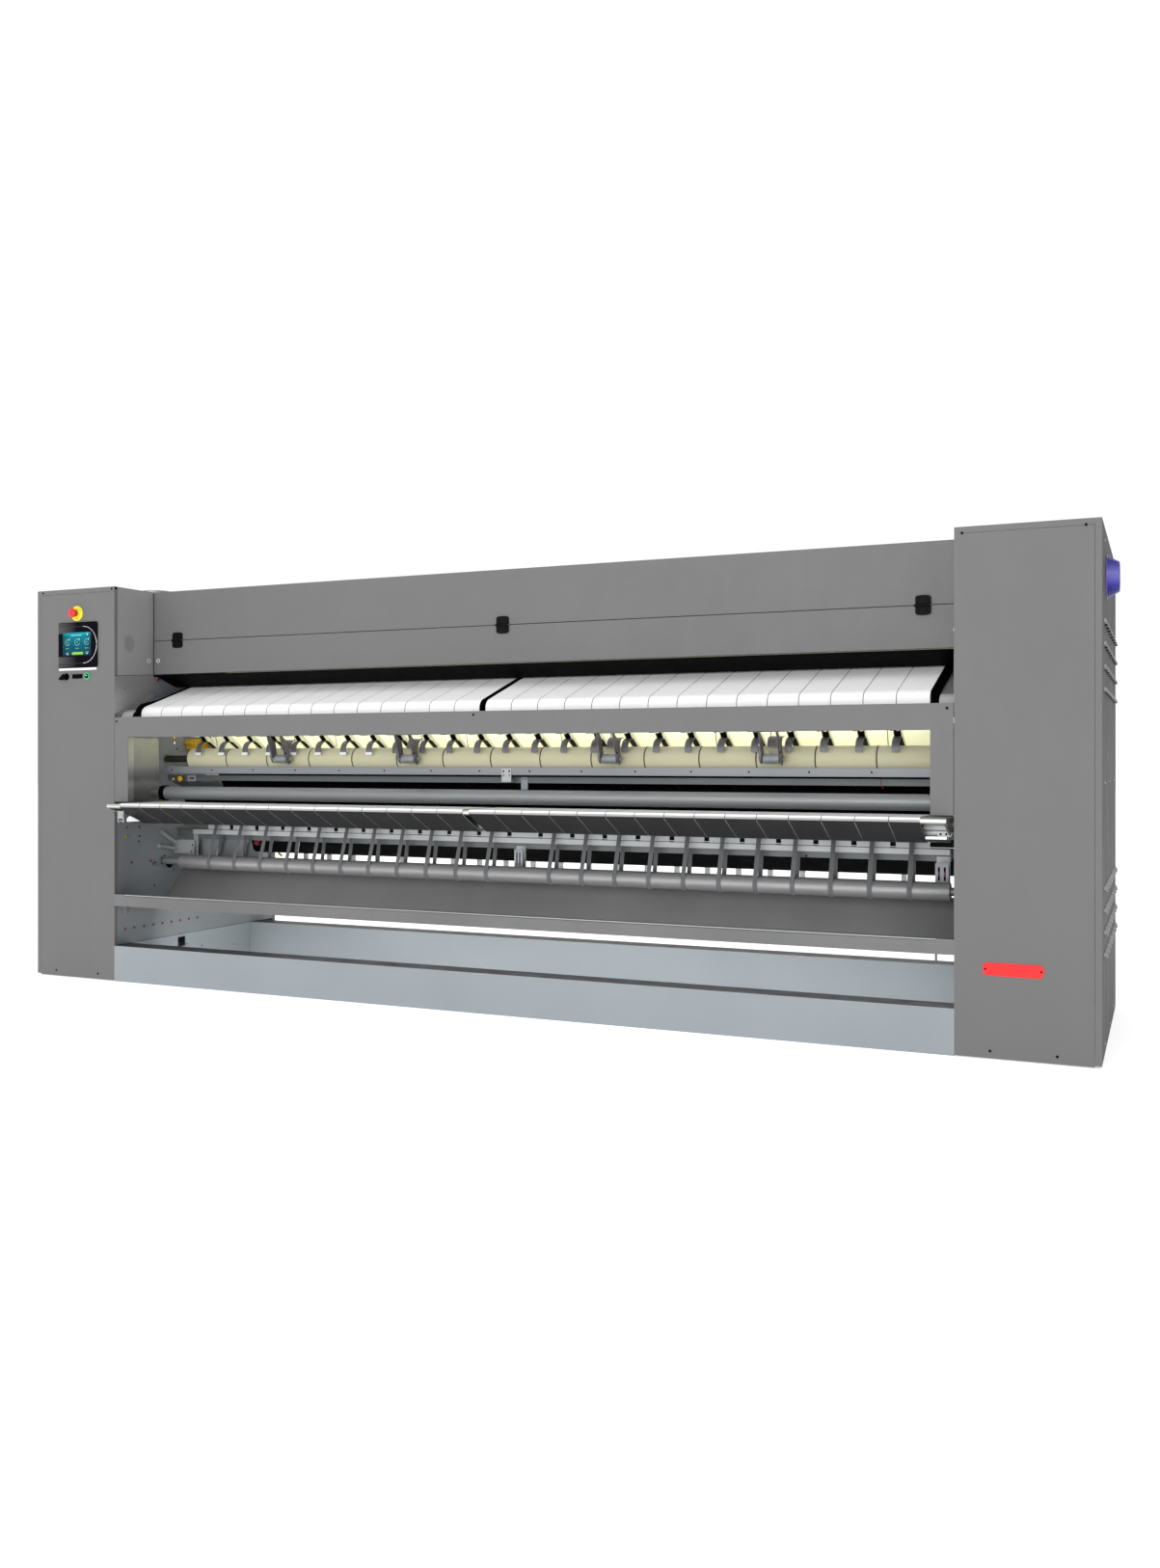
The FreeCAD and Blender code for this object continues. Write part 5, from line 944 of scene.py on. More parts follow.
p = Piece("hood_seam").use("seam_grey")
for a, b in ((-1755, -1646), (-1590, -27), (29, 1592), (1648, 1755)):
    p.box(a, 238.4, 1481.2, b, 239.2, 1484.0)
for s in (-1, 1):
    p.box(s * 1757, 238.2, 1334, s * 1755.2, 239.5, 1698)
    p.box(s * 1755.3, 238.2, 1482.5, s * 1752.8, 239.5, 1698)
p.done("frame", "cover_paint")
p = Piece("back_seams").use("seam_grey")
for x in (-1757, 1757):
    p.box(x - 1.2, 1114.8, 330, x + 1.2, 1115.5, 1699)
for x in (-1170, -586, 0, 586, 1170):
    p.box(x - 1.2, 1114.8, 642, x + 1.2, 1115.5, 1699)
p.done("frame", "cover_paint")

p = Piece("flap_gap").use("seam_grey")
for s in (-1, 1):
    p.box(s * 1754.8, 238.4, 1334.5, s * 1752.8, 239.2, 1480.5)
p.done("hood_flap", "cover_paint")

# ---------------------------------------------------------------------------------------
# Control panel


def glass_material():
    m = Mat("panel_glass")
    sep = m.nt.nodes.new("ShaderNodeSeparateXYZ")
    m.link(m.co, sep.inputs[0])
    # painted reflection: grey bands above and below the screen, each with a thin dark line, fading out towards the
    # right, stand in for the glass reflecting its surroundings
    off = m.math("ABSOLUTE", m.math("SUBTRACT", sep.outputs["Z"], 1.4545))
    band = m.span(off, 0.0500, 0.0520, 0.0, 1.0)
    edge = m.span(off, 0.0900, 0.0990, 1.0, 0.35)
    line = m.span(m.math("ABSOLUTE", m.math("SUBTRACT", off, 0.0840)), 0.0012, 0.0035, 0.55, 1.0)
    fade = m.span(sep.outputs["X"], -2.088, -1.985, 1.0, 0.0)
    k = m.math("MULTIPLY", m.math("MULTIPLY", band, edge), m.math("MULTIPLY", line, fade))
    col = m.mix(k, (0.0035, 0.003, 0.005), (0.080, 0.080, 0.082))
    fine = m.noise(30, 4, 0.6)
    col = m.mix(m.span(fine, 0.3, 0.8, 0.0, 0.08), col, (0.02, 0.015, 0.03))
    m.link(col, m.b.inputs["Base Color"])
    m.link(m.span(fine, 0.3, 0.7, 0.08, 0.14), m.b.inputs["Roughness"])
    m.b.inputs["Specular IOR Level"].default_value = 0.02
    return m.m


M["panel_glass"] = glass_material()
hx0, hx1, hz0, hz1 = -2072, -1850, 1355, 1553
p = Piece("panel_case").use("panel_glass")
outline = arc(hx1 - 14, hz0 + 14, 14, -90, 0, 8) + arc(hx1 - 14, hz1 - 14, 14, 0, 90, 8) + \
    arc(hx0 + 5, hz1 - 5, 5, 90, 180, 4) + arc(hx0 + 5, hz0 + 5, 5, 180, 270, 4)
p.prism("Y", outline, -6.0, -1.5)
p.use("case_edge")
p.prism("Y", rounded(hx0 - 1.5, hz0 - 1.5, hx1 + 1.5, hz1 + 1.5, 10), -1.5, 0.0)
p.use("black_plastic")
p.box(hx0 + 17, 0.0, hz0 + 17, hx1 - 17, 40, hz1 - 17)
for k in range(9):
    p.box(hx0 + 34 + 18 * k, 40, hz0 + 40, hx0 + 42 + 18 * k, 41.2, hz1 - 40)
# painted highlight: a white strip under the panel for its lit lower edge
p.use("edge_highlight_white")
p.prism("Y", rounded(hx0 + 2, 1344, hx1 - 5, 1353.5, 3.5), -4.5, 0.0)
p.done("frame", "screen_case", ("hmi_panel",), bevel=0.7)

p = Piece("panel_screen").use("screen_glow")
p.prism("Y", rounded(-2046, 1408, -1884, 1509, 4), -6.5, -6.02)
p.done("frame", "screen_case", bevel=0.15)

# painted highlight: the light arc rod on the right half of the glass; the two thin dark rods draw lines inside the
# painted reflection bands
p = Piece("panel_rings").use("arc_highlight")
ring = [(-1927 + 76 * math.cos(math.radians(a)), 1454 + 80 * math.sin(math.radians(a))) for a in range(-90, 91, 4)]
p.tube([(x, -6.2, z) for x, z in ring], 1.25, 8)
p.use("case_edge")
p.tube([(-2064, -6.0, 1374), (-1927, -6.0, 1374)], 0.7, 6)
p.tube([(-2064, -6.0, 1534), (-1927, -6.0, 1534)], 0.7, 6)
p.done("frame", "screen_case")


def gauge(pc, xc, zc, r, wide, a0, a1):
    n = 26
    for i in range(n):
        a, b = math.radians(a0 + (a1 - a0) * i / n), math.radians(a0 + (a1 - a0) * (i + 1) / n)
        q = []
        for ang, rr in ((a, r), (b, r), (b, r - wide), (a, r - wide)):
            q.append((xc + rr * math.cos(ang), zc + rr * math.sin(ang)))
        v = [(x, -6.62, z) for x, z in q] + [(x, -6.48, z) for x, z in q]
        pc.add(v, [(0, 1, 2, 3), (7, 6, 5, 4), (0, 4, 5, 1), (1, 5, 6, 2), (2, 6, 7, 3), (3, 7, 4, 0)])


p = Piece("screen_marks").use("icon_light")
for xc, r in ((-2019, 13.5), (-1962.5, 15), (-1908, 13.5)):
    gauge(p, xc, 1466, r, 2.2, 30, 335)
    gauge(p, xc, 1466, 3.4, 1.6, 0, 360)
    p.lathe("Y", (xc + 11, -6.5, 1480), [(-0.2, 0), (-0.12, 2.6), (0.0, 2.6)], 14)
    for dx in (-7, 0, 7):
        p.prism("Y", rounded(xc + dx - 1.6, 1438, xc + dx + 1.6, 1440.6, 1.0), -6.62, -6.5)
p.prism("Y", rounded(-1998, 1495, -1938, 1497.2, 1.0), -6.62, -6.5)
p.use("icon_green")
p.prism("Y", rounded(-1993, 1412, -1928, 1423, 5), -6.7, -6.5)
p.use("icon_white")
for x, z in ((-1904, 1498), (-2019, 1415), (-1906, 1416)):
    p.lathe("Y", (x, -6.5, z), [(-0.2, 0), (-0.12, 3.0), (0.0, 3.0)], 14)
    gauge(p, x, z, 9.0, 1.0, 20, 160)
p.done("frame", "screen_case")

# Emergency stop
ex, ez = -1967.5, 1592
p = Piece("estop_plate").use("yellow_plastic")
p.lathe("Y", (ex, 0, ez), [(0, 33), (-3.4, 33), (-4.6, 32.2), (-5, 30.5), (-5, 19), (-9.0, 17.6), (-9.6, 16.6), (-9.6, 12.4),
                           (-9.0, 11.6), (0, 11.6)], 64, closed=True)
p.use("red_dark")
for a in (35, 155, 275):
    n = 8
    for i in range(n):
        b0, b1 = math.radians(a - 14 + 28 * i / n), math.radians(a - 14 + 28 * (i + 1) / n)
        q = [(ex + rr * math.cos(t), ez + rr * math.sin(t)) for t, rr in ((b0, 25.5), (b1, 25.5), (b1, 23.9), (b0, 23.9))]
        v = [(x, -5.25, z) for x, z in q] + [(x, -4.9, z) for x, z in q]
        p.add(v, [(0, 1, 2, 3), (7, 6, 5, 4), (0, 4, 5, 1), (1, 5, 6, 2), (2, 6, 7, 3), (3, 7, 4, 0)])
p.done("frame", "bezel", ("control_bezels",))
p = Piece("estop_mushroom").use("red_plastic")
p.lathe("Y", (ex, 0, ez), [(-38.6, 0), (-38.5, 6), (-38.0, 11), (-36.6, 15.5), (-34.2, 18.6), (-31.0, 20), (-28.0, 20),
                           (-26.2, 19.4), (-25.6, 18.2), (-22.0, 15.8), (-17.0, 13.2), (-16.6, 10.9), (-8, 10.7), (20, 10.7), (20, 0)], 56)
p.done("estop", "red_plastic", ("estop_knob",))

# Selector, service socket, start button
bz_ = 1317
p = Piece("selector_ring").use("black_plastic")
p.lathe("Y", (-2030, 0, bz_), [(0, 15.5), (-2.2, 15.5), (-3.0, 14.6), (-3.0, 8.3), (0, 8.3)], 40, closed=True)
p.done("frame", "black_plastic")
p = Piece("selector_grip").use("black_plastic")
p.lathe("Y", (-2030, 0, bz_), [(-9.8, 0), (-9.6, 9.6), (-9.0, 10.5), (-3.6, 10.5), (-3.3, 8.0), (20, 8.0), (20, 0)], 40)
lobe = []
for k in range(28):
    a = 2 * math.pi * k / 28
    rr = 10.8 + 17.0 * max(0.0, math.cos(a - math.radians(207))) ** 9
    lobe.append((-2030 + rr * math.cos(a), bz_ + rr * math.sin(a)))
p.prism("Y", lobe, -21.5, -9.2)
p.done("selector", "black_plastic", ("selector_knob",), bevel=0.9)

p = Piece("service_socket").use("black_plastic")
p.prism("Y", rounded(-1995, 1307.5, -1937, 1327, 3.2), -3.4, 0.0)
p.prism("Y", rounded(-1988, 1310.5, -1944, 1324, 2.0), -4.6, -3.2)
p.done("frame", "black_plastic", bevel=0.5)
p = Piece("button_ring").use("green_plastic")
p.lathe("Y", (-1910, 0, bz_), [(0, 17), (-3.2, 17), (-5.2, 15.8), (-6.0, 13.8), (-6.0, 11.0), (-4.0, 9.6), (0, 9.4)], 48, closed=True)
p.done("frame", "green_plastic")
p = Piece("button_cap").use("black_and_painted_hole_shade")
p.lathe("Y", (-1910, 0, bz_), [(-7.6, 0), (-7.9, 5.2), (-8.4, 7.2), (-7.6, 8.6), (-6.0, 9.0), (18, 9.0), (18, 0)], 40)
# painted highlight: a small glowing dot above and right of the cap's centre
p.use("button_highlight_glow")
p.lathe("Y", (-1909.5, 0, bz_ + 2.5), [(-9.6, 0), (-9.2, 1.8), (-8.2, 2.9), (-7.2, 3.0)], 20)
p.done("start_button", "green_plastic", ("start_button",))

# ---------------------------------------------------------------------------------------
# Plain plate on the right column

p = Piece("bare_plate").use("red_plate")
p.prism("Y", rounded(1845, 266, 2032, 308, 17, 10), -2.2, 0.0)
p.done("frame", "red_plastic", bevel=0.7)
p = Piece("plate_rivets").use("screw_dark")
for x in (1854, 2023):
    p.lathe("Y", (x, -2.2, 287), [(-1.5, 0), (-1.2, 2.2), (-0.2, 3.3), (0.1, 3.3)], 16)
p.done("frame", "screw")

# ---------------------------------------------------------------------------------------
# Pressed scoops over the slots of both outer covers


def scoop(pc, s, y0, zc):
    L, h, nu, nv = 80.0, 10.5, 14, 6
    v, f = [], []
    for i in range(nu + 1):
        u = i / nu
        t = abs(2 * u - 1)
        hh = h * (1 - t ** 7) ** 0.6
        for j in range(nv + 1):
            a = math.pi / 2 * j / nv
            v.append((s * (2200.0 + hh * math.sin(a) - 0.1), y0 + 2 + L * u, zc + 13 - (17.0 + 1.0 * (1 - t)) * (1 - math.cos(a)) ** 0.85))
    for i in range(nu):
        for j in range(nv):
            a = i * (nv + 1) + j
            f.append((a, a + 1, a + nv + 2, a + nv + 1))
    pc.add(v, f)


for tag, s in (("right", 1), ("left", -1)):
    p = Piece("louvre_scoops_" + tag).use("scoop_lit_copy")
    for z in (1388, 1316, 1243, 1171, 537, 467, 397, 326):
        for k in range(8):
            scoop(p, s, 180 - 42 + 117 * k, z)
    # painted highlight: light nubs on the front ends of the scoops
    p.use("nub_painted_highlight")
    for z in (1388, 1316, 1243, 1171, 537, 467, 397, 326):
        for k in range(8):
            y0 = 180 - 42 + 117 * k
            p.box(s * 2199.9, y0 + 1, z + 2, s * 2206.5, y0 + 7, z + 12)
    ob = p.done("frame", "cover_paint", fix=True)
    md = ob.modifiers.new("sheet", "SOLIDIFY")
    md.thickness = 0.0012
    md.offset = 0.0
    # painted shadow: near-black boxes behind the scoops
    p = Piece("louvre_shadow_" + tag).use("painted_shade_black")
    for z in (1388, 1316, 1243, 1171, 537, 467, 397, 326):
        for k in range(8):
            y0 = 180 - 42 + 117 * k
            p.box(s * 2197.6, y0 + 8, z - 7, s * 2197.0, y0 + 76, z + 6)
    p.done("frame", "black_paint")

# ---------------------------------------------------------------------------------------
# Exhaust collars

p = Piece("side_collar").use("outlet_flange")
p.lathe("X", (2200, 330, 1556), [(0, 46), (0, 73.6), (0.8, 74), (2.4, 74), (3.0, 73.2), (3.0, 67.5), (2.0, 46)], 72, closed=True)
for k in range(6):
    a = math.radians(30 + 60 * k)
    p.screw((2203, 330 + 70.2 * math.cos(a), 1556 + 70.2 * math.sin(a)), "X", 1, 2.6, 1.2, 12)
p.use("outlet")
p.lathe("X", (2200, 330, 1556), [(2.8, 46), (2.8, 67.0), (5.0, 66.8), (9.0, 65.6), (36.0, 51.6), (39.2, 49.6), (40.0, 48.4), (40.0, 46.0),
                                 (39.0, 45.1), (3, 45.1)], 72, closed=True)
p.done("frame", "outlet", ("exhaust_collars",))
p = Piece("roof_collar").use("galvanised")
p.lathe("Z", (-1979, 506, 1700), [(0, 68.1), (0, 82), (0.5, 82.5), (1.5, 82.5), (2.0, 81.8), (2.2, 72.2), (3.4, 70.7), (22, 70.5), (24, 71.6),
                                  (26, 70.5), (45.0, 70.5), (46.0, 69.8), (46.0, 68.6), (45.2, 68.1)], 72, closed=True)
p.use("screw_bright")
for k in range(6):
    a = math.radians(60 * k)
    p.screw((-1979 + 77 * math.cos(a), 506 + 77 * math.sin(a), 1702), "Z", 1, 2.6, 1.2, 12)
p.done("frame", "outlet")

# ---------------------------------------------------------------------------------------
# Strippers: a black bar between two bright edges, and a grey leaf that curls down in front

sy, sz = 252, 1068
bar_prof = [(236, 1082), (290, 1082), (302, 1074), (458, 972), (455, 967), (347, 1031.9), (325, 1036), (297, 1062), (268, 1054), (236, 1054)]
leaf_path = [(338, 1034.4), (322, 1031.8), (312, 1029.6), (302, 1025.4), (294, 1019.6), (289, 1014), (285, 1007), (282.6, 1000),
             (281.6, 993), (281.4, 985)]
p = Piece("stripper_set").use("tube_steel")
p.lathe("X", (0, sy, sz), [(-1764, 0), (-1763, 10), (1763, 10), (1764, 0)], 24)
for k in range(25):
    xc = -1539 + 127.4 * k
    jit = rnd.uniform(-0.7, 0.7)
    p.use("finger_black")
    p.prism("X", bar_prof, xc - 11, xc + 11)
    p.use("stainless")
    wide = [(236, 1084), (291, 1084), (303.5, 1075.4), (460, 973), (456, 965), (346, 1030.4), (325, 1034.5), (297, 1060.4), (268, 1052.5), (236, 1052)]
    p.prism("X", wide, xc - 13.5, xc - 11.2)
    p.prism("X", wide, xc + 11.2, xc + 13.5)
    for yy, zz in ((372, 1029.0), (384, 1021.1)):
        p.lathe("Z", (xc + (yy - 378) * 0.9, yy, zz), [(-1.0, 2.6), (1.2, 2.2), (1.6, 0)], 10)
    p.use("finger")
    p.strip(leaf_path, xc - 13.5 + jit, xc + 13.5 + jit, -2.4)
    # rounded lower end
    p.prism("Y", [(xc - 13.5 + jit, 985), (xc - 12.6 + jit, 981.5), (xc - 9 + jit, 979.6), (xc + 9 + jit, 979.6), (xc + 12.6 + jit, 981.5), (xc + 13.5 + jit, 985)],
            279.0, 281.4)
    # painted highlight: only the eight leftmost fingers get a light tip
    if k < 8:
        p.use("ring_light")
        p.prism("X", [(277.4, 973.5), (280.6, 972.5), (282.4, 982.5), (280.9, 986.0), (277.6, 984.0)], xc - 16, xc + 15)
p.done("strippers", "finger", ("strippers",), bevel=0.5, seg=1)

p = Piece("exit_belt_seams").use("seam_brown")
ring = arc(335, 957, 46.0, 75, 262, 26)
for k in range(1, 15):
    x = -1612 + 218.8 * k - 1.2
    p.strip(ring, x - 2.3, x + 2.3, -0.5)
p.done("frame", "guide_rubber")

# ---------------------------------------------------------------------------------------
# Belt guides hung under the beam

GX = (-1074, -442, 448, 1080)
gy, gz = 262, 957
p = Piece("belt_guides")
for xc in GX:
    p.use("finger")
    p.prism("Z", rounded(xc - 48, 4, xc + 48, 220, 6), 1052, 1057)
    p.strip([(330, 1036), (318, 1036), (306, 1033), (297, 1027.5), (291.5, 1019.5), (288, 1008), (287, 998)], xc - 24, xc + 30, -3.0)
    p.use("guide_grey")
    for s, off in ((-1, -35), (1, 31)):
        poly = [(gy - 44, 1053), (gy - 4, 1024), (gy + 8, gz + 20)] + [(gy + 12 * math.cos(a), gz + 12 * math.sin(a)) for a in
                [math.radians(t) for t in (40, 10, -20, -50, -80, -110, -140, -170)]] + [(gy - 24, gz + 8), (gy - 62, 1053)]
        p.prism("X", poly, xc + off, xc + off + 4)
    # curved arm on the left, flat ear on the right
    p.use("guide_grey")
    armp = [(gy - 20, 1010), (gy - 27, 995), (gy - 30, 978), (gy - 28, 962), (gy - 22, 950), (gy - 14, 942), (gy - 4, 938)]
    p.strip(armp, xc - 41, xc - 31.5, 3.0)
    ear = [(gy - 30, 1016), (gy - 8, 1016)] + [(gy + 15 * math.cos(math.radians(t)), gz - 3 + 22 * math.sin(math.radians(t))) for t in (35, 10, -20, -50, -80, -110, -140, -165)] + [(gy - 24, gz + 6)]
    p.prism("X", ear, xc + 35.5, xc + 39)
    p.use("screw_bright")
    p.lathe("X", (xc, gy, gz), [(-43, 0), (-42.5, 6), (46, 6), (46.5, 0)], 20)
    p.lathe("X", (xc, gy, gz), [(39, 10.5), (45.0, 10.5), (46.0, 9.5), (46.0, 0)], 6)
    p.use("screw_dark")
    p.lathe("Y", (xc + 37, gy - 22, gz + 22), [(-4.2, 0), (-4.0, 3.6), (0, 4.4)], 12)
p.done("frame", "zinc_steel", ("guide_brackets",), bevel=0.8)
p = Piece("belt_guide_wheels").use("bar_steel")
for xc in GX:
    p.lathe("X", (xc, gy, gz), [(-30, 6.3), (-30, 15.5), (-28.5, 17.4), (-26, 18), (-6, 18), (-4.8, 17.2), (4.8, 17.2), (6, 18), (26, 18),
                                (28.5, 17.4), (30, 15.5), (30, 6.3)], 40, closed=True)
p.done("guide_rollers", "guide_rubber", ("guide_rollers",))

# ---------------------------------------------------------------------------------------
# Window: trim sheets, a near-black painted-shade sheet behind the bars, small brackets, boxes at the left end


def trim_material():
    m = Mat("window_trim_steel")
    sep = m.nt.nodes.new("ShaderNodeSeparateXYZ")
    m.link(m.co, sep.inputs[0])
    # painted reflection: colour banded by height, dark at the foot and bright at the top, stands in for the polished
    # sheet reflecting its surroundings
    z = m.span(sep.outputs["Z"], 0.770, 1.048, 0.0, 1.0)
    wob = m.noise(9, 4, 0.6)
    z = m.math("ADD", z, m.math("MULTIPLY", m.math("SUBTRACT", wob, 0.5), 0.10))
    col = m.ramp(z, [(0.0, (0.11, 0.114, 0.117)), (0.15, (0.16, 0.163, 0.166)), (0.28, (0.28, 0.28, 0.285)), (0.36, (0.16, 0.16, 0.165)),
                     (0.46, (0.23, 0.23, 0.235)), (0.56, (0.37, 0.37, 0.355)), (0.66, (0.42, 0.425, 0.365)), (1.0, (0.50, 0.51, 0.42))])
    spots = m.noise(35, 4, 0.65)
    col = m.mix(m.span(spots, 0.5, 0.72, 0.0, 0.35), col, (0.27, 0.275, 0.215))
    m.link(col, m.b.inputs["Base Color"])
    m.b.inputs["Metallic"].default_value = 0.25
    m.link(m.span(wob, 0.3, 0.7, 0.34, 0.46), m.b.inputs["Roughness"])
    m.bump(m.noise(1.0, 4, 0.6, vec=m.mapped((300, 300, 4))), 0.2, 0.0002)
    return m.m


M["window_trim_steel"] = trim_material()


def inner_sheet_material():
    """Lower inner sheets: bare, lighter towards the floor side of the front edge."""
    m = Mat("inner_sheet")
    sep = m.nt.nodes.new("ShaderNodeSeparateXYZ")
    m.link(m.co, sep.inputs[0])
    low = m.span(sep.outputs["Z"], 1.285, 1.215, 0.0, 1.0)
    front = m.span(sep.outputs["Y"], -0.53, -0.30, 1.0, 0.0)
    col = m.mix(m.math("MULTIPLY", low, front), (0.20, 0.20, 0.20), (0.33, 0.33, 0.33))
    cloud = m.noise(8, 4, 0.6)
    col = m.mix(m.span(cloud, 0.35, 0.75, 0.0, 0.25), col, (0.16, 0.16, 0.16))
    m.link(col, m.b.inputs["Base Color"])
    m.b.inputs["Roughness"].default_value = 0.5
    m.b.inputs["Specular IOR Level"].default_value = 0.2
    m.bump(m.noise(900, 2, 0.6), 0.3, 0.0003)
    return m.m


M["inner_sheet"] = inner_sheet_material()
p = Piece("window_trim").use("window_trim_steel")
for s in (-1, 1):
    p.box(s * 1757, 36, 772, s * 1755.8, 268, 1048)
    p.box(s * 1757, 266, 772, s * 1751.5, 268.5, 1048)
    p.box(s * 1682, 1.5, 775, s * 1681.3, 35, 1049)
p.done("frame", "stainless", bevel=0.4, seg=1)

p = Piece("inner_lower_sheet").use("inner_sheet")
for s in (-1, 1):
    p.prism("X", [(1.5, 1150), (236, 1252), (236, 1331.5), (1.5, 1314.5)], s * 1757, s * 1756.3)
p.use("seam_grey")
for s in (-1, 1):
    p.prism("X", [(1.5, 1314.5), (236, 1331.5), (236, 1333.3), (1.5, 1316.3)], s * 1757, s * 1756.2)
    p.lathe("X", (s * 1757, 60, 1262), [(0, 3.4), (-s * 1.2, 3.0), (-s * 1.2, 0)], 12)
p.use("red_dark")
p.tube([(-1755, 262, 1306), (-1755, 272, 1316), (-1752, 292, 1322)], 4.2, 8)
p.done("frame", "cover_paint")

# painted shade: near-black sheet behind the bars for the belts' shaded undersides, with faint dark diagonal rods on it
p = Piece("bar_shade_sheet").use("painted_shade_black")
p.add([(-1518, 379, 905), (1756, 379, 905), (1756, 379, 812), (-1470, 379, 812), (-1518, 381, 905), (1756, 381, 905), (1756, 381, 812), (-1470, 381, 812)],
      [(0, 1, 2, 3), (7, 6, 5, 4), (0, 4, 5, 1), (1, 5, 6, 2), (2, 6, 7, 3), (3, 7, 4, 0)])
p.box(-1700, 379, 745, 1700, 381, 792)
p.use("rubber")
for k in range(14):
    xk = -1400 + 228 * k
    p.tube([(xk, 378.6, 886), (xk + 34, 378.6, 838)], 0.7, 6)
p.done("frame", "black_paint")

p = Piece("bar_brackets").use("galvanised")
p.prism("X", [(294.8, 918), (297.9, 918), (297.9, 880), (318, 866), (318, 863.5), (296.5, 863.5), (294.8, 866)], -34, 8)
# holes in the bracket drawn as black: painted shade
p.use("black_and_painted_hole_shade")
for x in (-26, 0):
    p.prism("Y", rounded(x - 3.2, 902, x + 3.2, 913, 3.2), 294.2, 294.9)
    p.prism("Y", rounded(x - 2.0, 886, x + 2.0, 896, 2.0), 294.4, 294.9)
p.use("bar_steel")
p.prism("X", [(330.8, 884), (333.9, 884), (333.9, 836), (331.0, 834)], 34, 64)
p.use("screw_dark")
for x in (42, 56):
    p.screw((x, 330.8, 876), "Y", -1, 2.6, 1.0, 12)
p.use("red_dark")
p.tube([(1456, 333.2, 884), (1456, 333.2, 862), (1462, 333.2, 855), (1466, 336, 850)], 1.3, 8)
# slotted clamp at the left end of the sensor bar
p.use("bar_steel")
p.box(-1640, 326, 856, -1592, 333.5, 884)
p.use("black_and_painted_hole_shade")
p.prism("Y", rounded(-1628, 867, -1602, 873, 3), 325.4, 326.1)
p.use("bar_dark")
p.prism("X", [(352, 858), (404, 836), (404, 812), (398, 812), (398, 832), (352, 852)], -1745, -1500)
p.done("frame", "zinc_steel", bevel=0.6, seg=1)

p = Piece("left_end_details").use("yellow_part")
p.lathe("Y", (-1672.7, 318, 868.1), [(8, 8), (3, 12.0), (-4, 12.4), (-6, 10.5), (-6.4, 5), (-6.4, 0)], 12)
p.use("yellow_plastic")
p.lathe("Y", (-1711.3, 318, 866.5), [(0, 4.5), (-4, 4.2), (-4, 0)], 12)
p.use("yellow_part")
p.box(-1756.5, 452, 1000, -1704, 606, 1049)
p.prism("X", [(452, 1049), (470, 1049), (452, 1020), (440, 1028)], -1756.5, -1716)
p.use("bar_dark")
p.box(-1756.5, 606, 985, -1710, 860, 1049)
p.use("machine_paint")
p.box(-1756.5, 980, 985, -1700, 1075, 1049)
p.use("yellow_plastic")
p.lathe("X", (-1757, 373, 1056), [(0, 8), (3, 8), (4, 6), (4, 0)], 20)
p.lathe("X", (-1757, 371, 866.5), [(0, 6), (3, 6), (4, 4.5), (4, 0)], 18)
p.lathe("X", (-1757, 415, 866), [(0, 19), (6, 19), (9, 15), (10, 9), (10, 0)], 30)
p.use("lip_white")
p.lathe("X", (-1757, 372.6, 1030), [(0, 8), (4, 7.2), (5.5, 4), (5.5, 0)], 18)
# holes drawn as black discs: painted shade
p.use("black_and_painted_hole_shade")
p.lathe("X", (-1757, 393.7, 1003), [(0, 4.5), (0.8, 4.5), (0.8, 0)], 16)
p.lathe("X", (-1757, 283, 803), [(0, 31), (0.7, 31), (0.7, 0)], 30)
p.done("frame", "machine_paint", bevel=1.0)

# ---------------------------------------------------------------------------------------
# Feed table: near-black strips beside the belt banks, painted shade in the gaps there

p = Piece("feed_side_strips").use("painted_shade_black")
tl = math.radians(18.5)
n0, n1 = (117.0, 1147.0), (429.95, 1251.7)
up = (-math.sin(tl), math.cos(tl))
path = [(n0[0] + 38.6 * math.cos(math.radians(a)), n0[1] + 38.6 * math.sin(math.radians(a))) for a in range(215, 107, -9)]
path += [(n1[0] + 38.6 * up[0], n1[1] + 38.6 * up[1])]
for x0, x1 in ((-1703.4, -1681.5), (1670.5, 1703.4), (-15.5, 8.5)):
    p.strip(path, x0, x1, 2.0)
p.done("frame", "guide_rubber")

p = Piece("rail_noses").use("inner_sheet")
cap = [(72 + 36.6 * math.cos(math.radians(a)), 1128 + 36.6 * math.sin(math.radians(a))) for a in range(205, 107, -8)]
cap += [(cap[-1][0] + 14 * math.cos(tl), cap[-1][1] + 14 * math.sin(tl))]
p.use("cap_paint")
p.strip(cap, -1750, -1691, 1.4)
p.strip(cap, 1704.5, 1752, 1.4)
# painted shade: a black plate on the inner side of the left rail nose, where that face lies in shade
p.use("black_and_painted_hole_shade")
p.prism("X", [(52, 1117), (50, 1150), (59, 1174), (84, 1194), (120, 1203.5), (165, 1212), (235, 1229), (235, 1190), (108, 1117)], -1690, -1681)
p.done("frame", "cover_paint")

# painted shade: dark strips fill the gaps between the feed belts
p = Piece("feed_belt_gap_shade").use("rubber")
gap_shade_path = [(n0[0] + 37.6 * math.cos(math.radians(a)), n0[1] + 37.6 * math.sin(math.radians(a))) for a in range(245, 107, -6)]
gap_shade_path += [(n1[0] + 37.6 * up[0], n1[1] + 37.6 * up[1])]
SEAMS = []
for first, last in ((-1679.0, -17.0), (10.0, 1668.0)):
    w = (last - first - 14 * 2.4) / 15
    SEAMS += [first + w * (k + 1) + 2.4 * k for k in range(14)]
for x in SEAMS:
    p.strip(gap_shade_path, x + 0.05, x + 2.35, 1.6)
p.done("frame", "guide_rubber")

# ---------------------------------------------------------------------------------------
# Delivery table: hangers below its two ends

